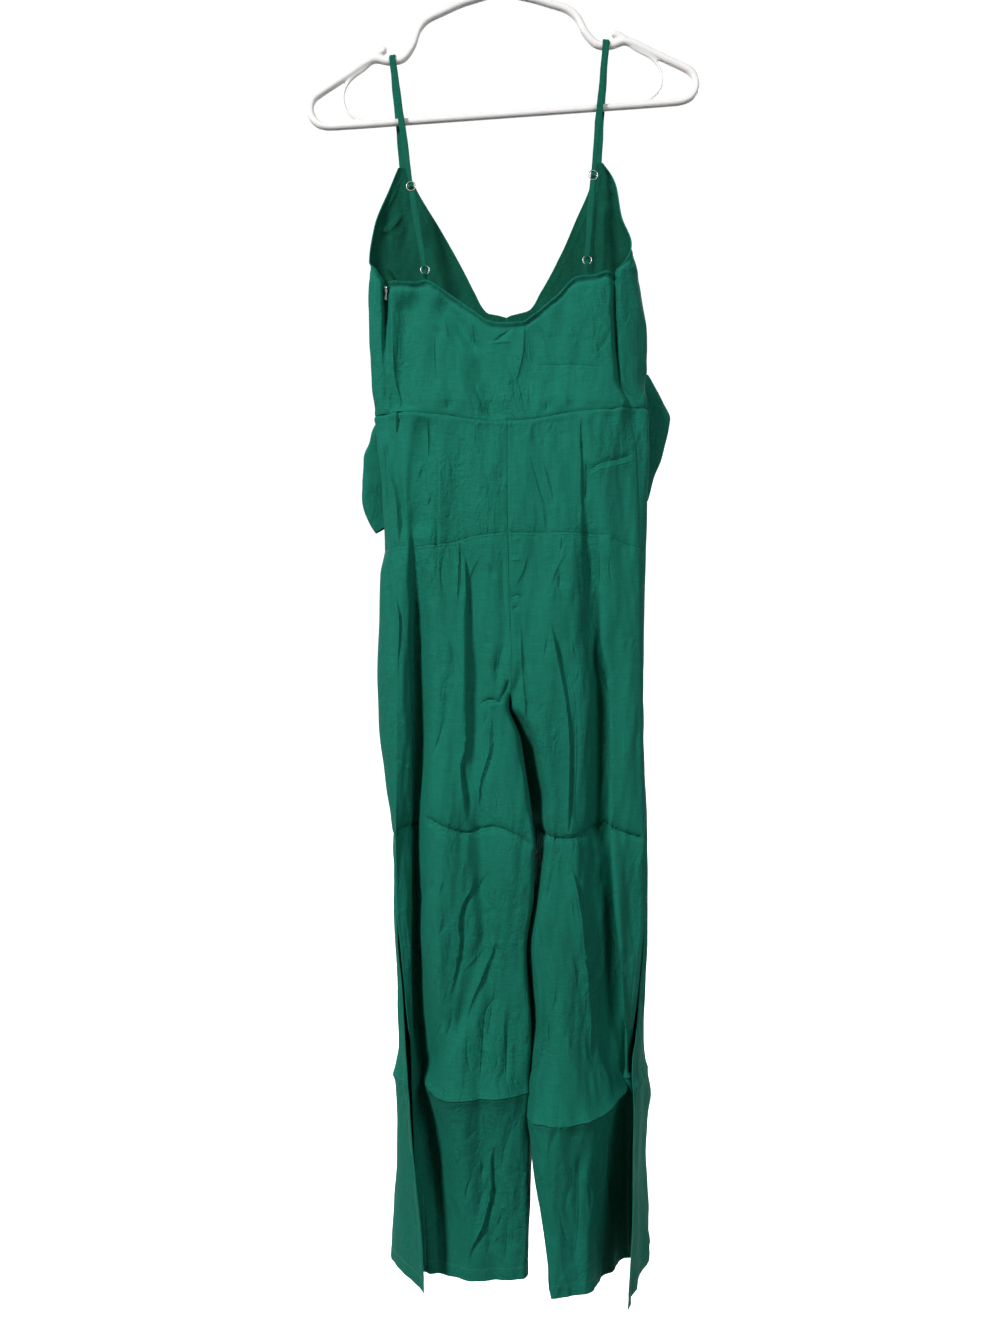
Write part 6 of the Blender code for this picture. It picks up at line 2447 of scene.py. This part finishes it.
@dataclass
class Hanger:
    """A closed tubular hanger with strap notches, thin ribs and a round hook, in one moulding."""

    finish: Wardrobe
    tilt: float = math.radians(4.1)
    hook_radius: float = 0.0265
    rib: float = 0.0019
    knob: float = 0.0042
    voxel: float = 0.00122

    def point(self, x: float, z: float) -> Triple:
        """Turn a point of the level hanger to its tilt about the hook's inner top."""
        cos, sin = math.cos(self.tilt), math.sin(self.tilt)
        return (x * cos - z * sin, 0.0, x * sin + z * cos)

    def tube(self, path: Sequence[tuple], radius: float) -> Piece:
        """One open stretch of the moulding through (x, z) points, smoothed along them."""
        points = [self.point(x, z) for x, z in smooth_line(path, 4)]
        return make_tube(points, radius, 4)

    def ring(self) -> Piece:
        """The closed frame, from its right half and that half's mirror image.

        Returns:
            The closed tube.
        """
        rows = [*HALF_FRAME, *(HALF_FRAME[:0:-1] * (-1, 1, 1))]
        line = smooth_line([rows[-1], *rows, rows[0], rows[1]], 4)[4:-8]
        return make_tube([self.point(x, z) for x, z, _ in line], line[:, 2], 4, True)

    def build(self) -> None:
        """Sweep the tubes, fuse them with soft fillets and dress the whole."""
        pieces = [self.ring()]
        for side in (LEFT, RIGHT):
            for path, radius in ((KNOB, self.knob), (RIB, self.rib)):
                path = path * (side, 1)
                pieces.append(self.tube(path, radius))
                for x, z in (path[0], path[-1]):
                    pieces.append(self.ball(x, z, radius))
        hook = self.hook_path()
        pieces.append(self.tube(hook, HANGER_TUBE))
        pieces.append(self.ball(*hook[-1], HANGER_TUBE))
        hanger = join(pieces)
        modify(hanger, "REMESH", mode="VOXEL", voxel_size=self.voxel)
        modify(hanger, "SMOOTH", factor=0.5, iterations=6)
        apply_modifiers(hanger)
        bpy.ops.object.shade_smooth()
        nodes = ["hanger_frame", "hanger_hook"]
        dress(hanger, "hanger", self.finish.plastic, nodes)

    def ball(self, x: float, z: float, radius: float) -> Piece:
        """A round end.

        Args:
            x: Its place across the level hanger.
            z: Its height there.
            radius: Its radius.

        Returns:
            The ball.
        """
        deselect()
        bpy.ops.mesh.primitive_uv_sphere_add(
            segments=24, ring_count=12, radius=radius, location=self.point(x, z)
        )
        ball = bpy.context.object
        settle(ball)
        return ball

    def hook_path(self) -> list[Spot]:
        """The hook's middle line: up from the frame, then round.

        Returns:
            Its (x, z) points.
        """
        centre_z = HANGER_TUBE - self.hook_radius
        path = [(0.0, -0.0850), (0.0, -0.0700), (0.0040, -0.0590), (0.0130, -0.0490)]
        for step in range(17):
            angle = math.radians(-42 + 240 * step / 16)
            reach = self.hook_radius * np.array([math.cos(angle), math.sin(angle)])
            path.append((reach[0], centre_z + reach[1]))
        return path


# The studio -----------------------------------------------------------------------------------


@dataclass(frozen=True)
class Lamp:
    """A square soft light."""

    name: str
    place: Triple
    size: float
    power: float
    aim: Triple = (0.02, 0.0, -0.80)


@dataclass
class Studio:
    """A pale floor that sweeps up all round, soft lights and the camera."""

    finish: Wardrobe
    floor_z: float = -1.72
    sweep_radius: float = 4.6
    bend: float = 1.2
    wall_top: float = 4.6
    ambient: float = 0.095
    lens: float = 40.32
    sensor: float = 36.0
    stand: Triple = (0.0109, -1.2208, -0.8175)
    lamps: tuple[Lamp, ...] = (
        Lamp("key", (-2.25, -2.45, 1.2), 0.7, 176.0),
        Lamp("second", (1.9, -2.9, 1.1), 1.1, 58.0),
        Lamp("rear_key", (-1.5, 3.0, 1.3), 0.7, 175.0),
        Lamp("rear_second", (1.6, 2.6, 1.1), 1.1, 46.0),
    )

    def build(self) -> None:
        """Make the sweep, the lights, the world and the camera."""
        self.sweep()
        for lamp in self.lamps:
            self.light(lamp)
        world = bpy.data.worlds.new("studio")
        world.use_nodes = True
        world.node_tree.nodes["Background"].inputs["Color"].default_value = (1, 1, 1, 1)
        world.node_tree.nodes["Background"].inputs["Strength"].default_value = self.ambient
        bpy.context.scene.world = world
        bpy.context.scene.view_settings.view_transform = "Standard"
        self.camera()

    def sweep(self) -> None:
        """A round floor whose rim curves up into a wall, and which lights nothing itself."""
        flat = self.sweep_radius - self.bend
        profile = [(0.0, 0.0), (flat, 0.0)]
        for step in range(1, 9):
            angle = math.pi / 2 * step / 8
            rise = self.bend - self.bend * math.cos(angle)
            profile.append((flat + self.bend * math.sin(angle), rise))
        profile.append((self.sweep_radius, self.wall_top - self.floor_z))
        mesh = bpy.data.meshes.new("sweep")
        mesh.from_pydata(
            [(x, 0, z + self.floor_z) for x, z in profile],
            [(i, i + 1) for i in range(len(profile) - 1)], [],
        )
        sweep = add_object("studio_sweep", mesh)
        modify(
            sweep, "SCREW", steps=96, render_steps=96, use_merge_vertices=True,
            merge_threshold=0.0001,
        )
        apply_modifiers(sweep)
        bpy.ops.object.shade_smooth()
        mesh.materials.append(self.finish.paper)
        sweep.visible_diffuse = False
        sweep.visible_shadow = False

    def light(self, lamp: Lamp) -> None:
        """Hang one soft light and aim it.

        Args:
            lamp: The light.
        """
        data = bpy.data.lights.new(lamp.name, "AREA")
        data.shape = "SQUARE"
        data.size = lamp.size
        data.energy = lamp.power
        holder = add_object(lamp.name, data)
        holder.location = lamp.place
        way = Vector(lamp.aim) - Vector(lamp.place)
        holder.rotation_euler = way.to_track_quat("-Z", "Y").to_euler()
        holder.visible_camera = False

    def camera(self) -> None:
        """A level camera square to the garment's back, which frames it whole."""
        data = bpy.data.cameras.new("camera")
        data.sensor_fit = "HORIZONTAL"
        data.sensor_width = self.sensor
        data.lens = self.lens
        data.clip_start = 0.01
        camera = add_object("camera", data)
        camera.location = self.stand
        camera.rotation_euler = (math.pi / 2, 0, 0)
        bpy.context.scene.camera = camera


def main() -> None:
    """Build the hanger, the garment, its trimmings and the studio."""
    logging.basicConfig(level=logging.INFO, format="%(name)s: %(message)s")
    finish = Wardrobe()
    Hanger(finish).build()
    Garment(finish).build()
    for side in (LEFT, RIGHT):
        StrapSet(side, finish).build()
    Bow(finish).build()
    Zip(finish).build()
    Studio(finish).build()


if __name__ == "__main__":
    main()
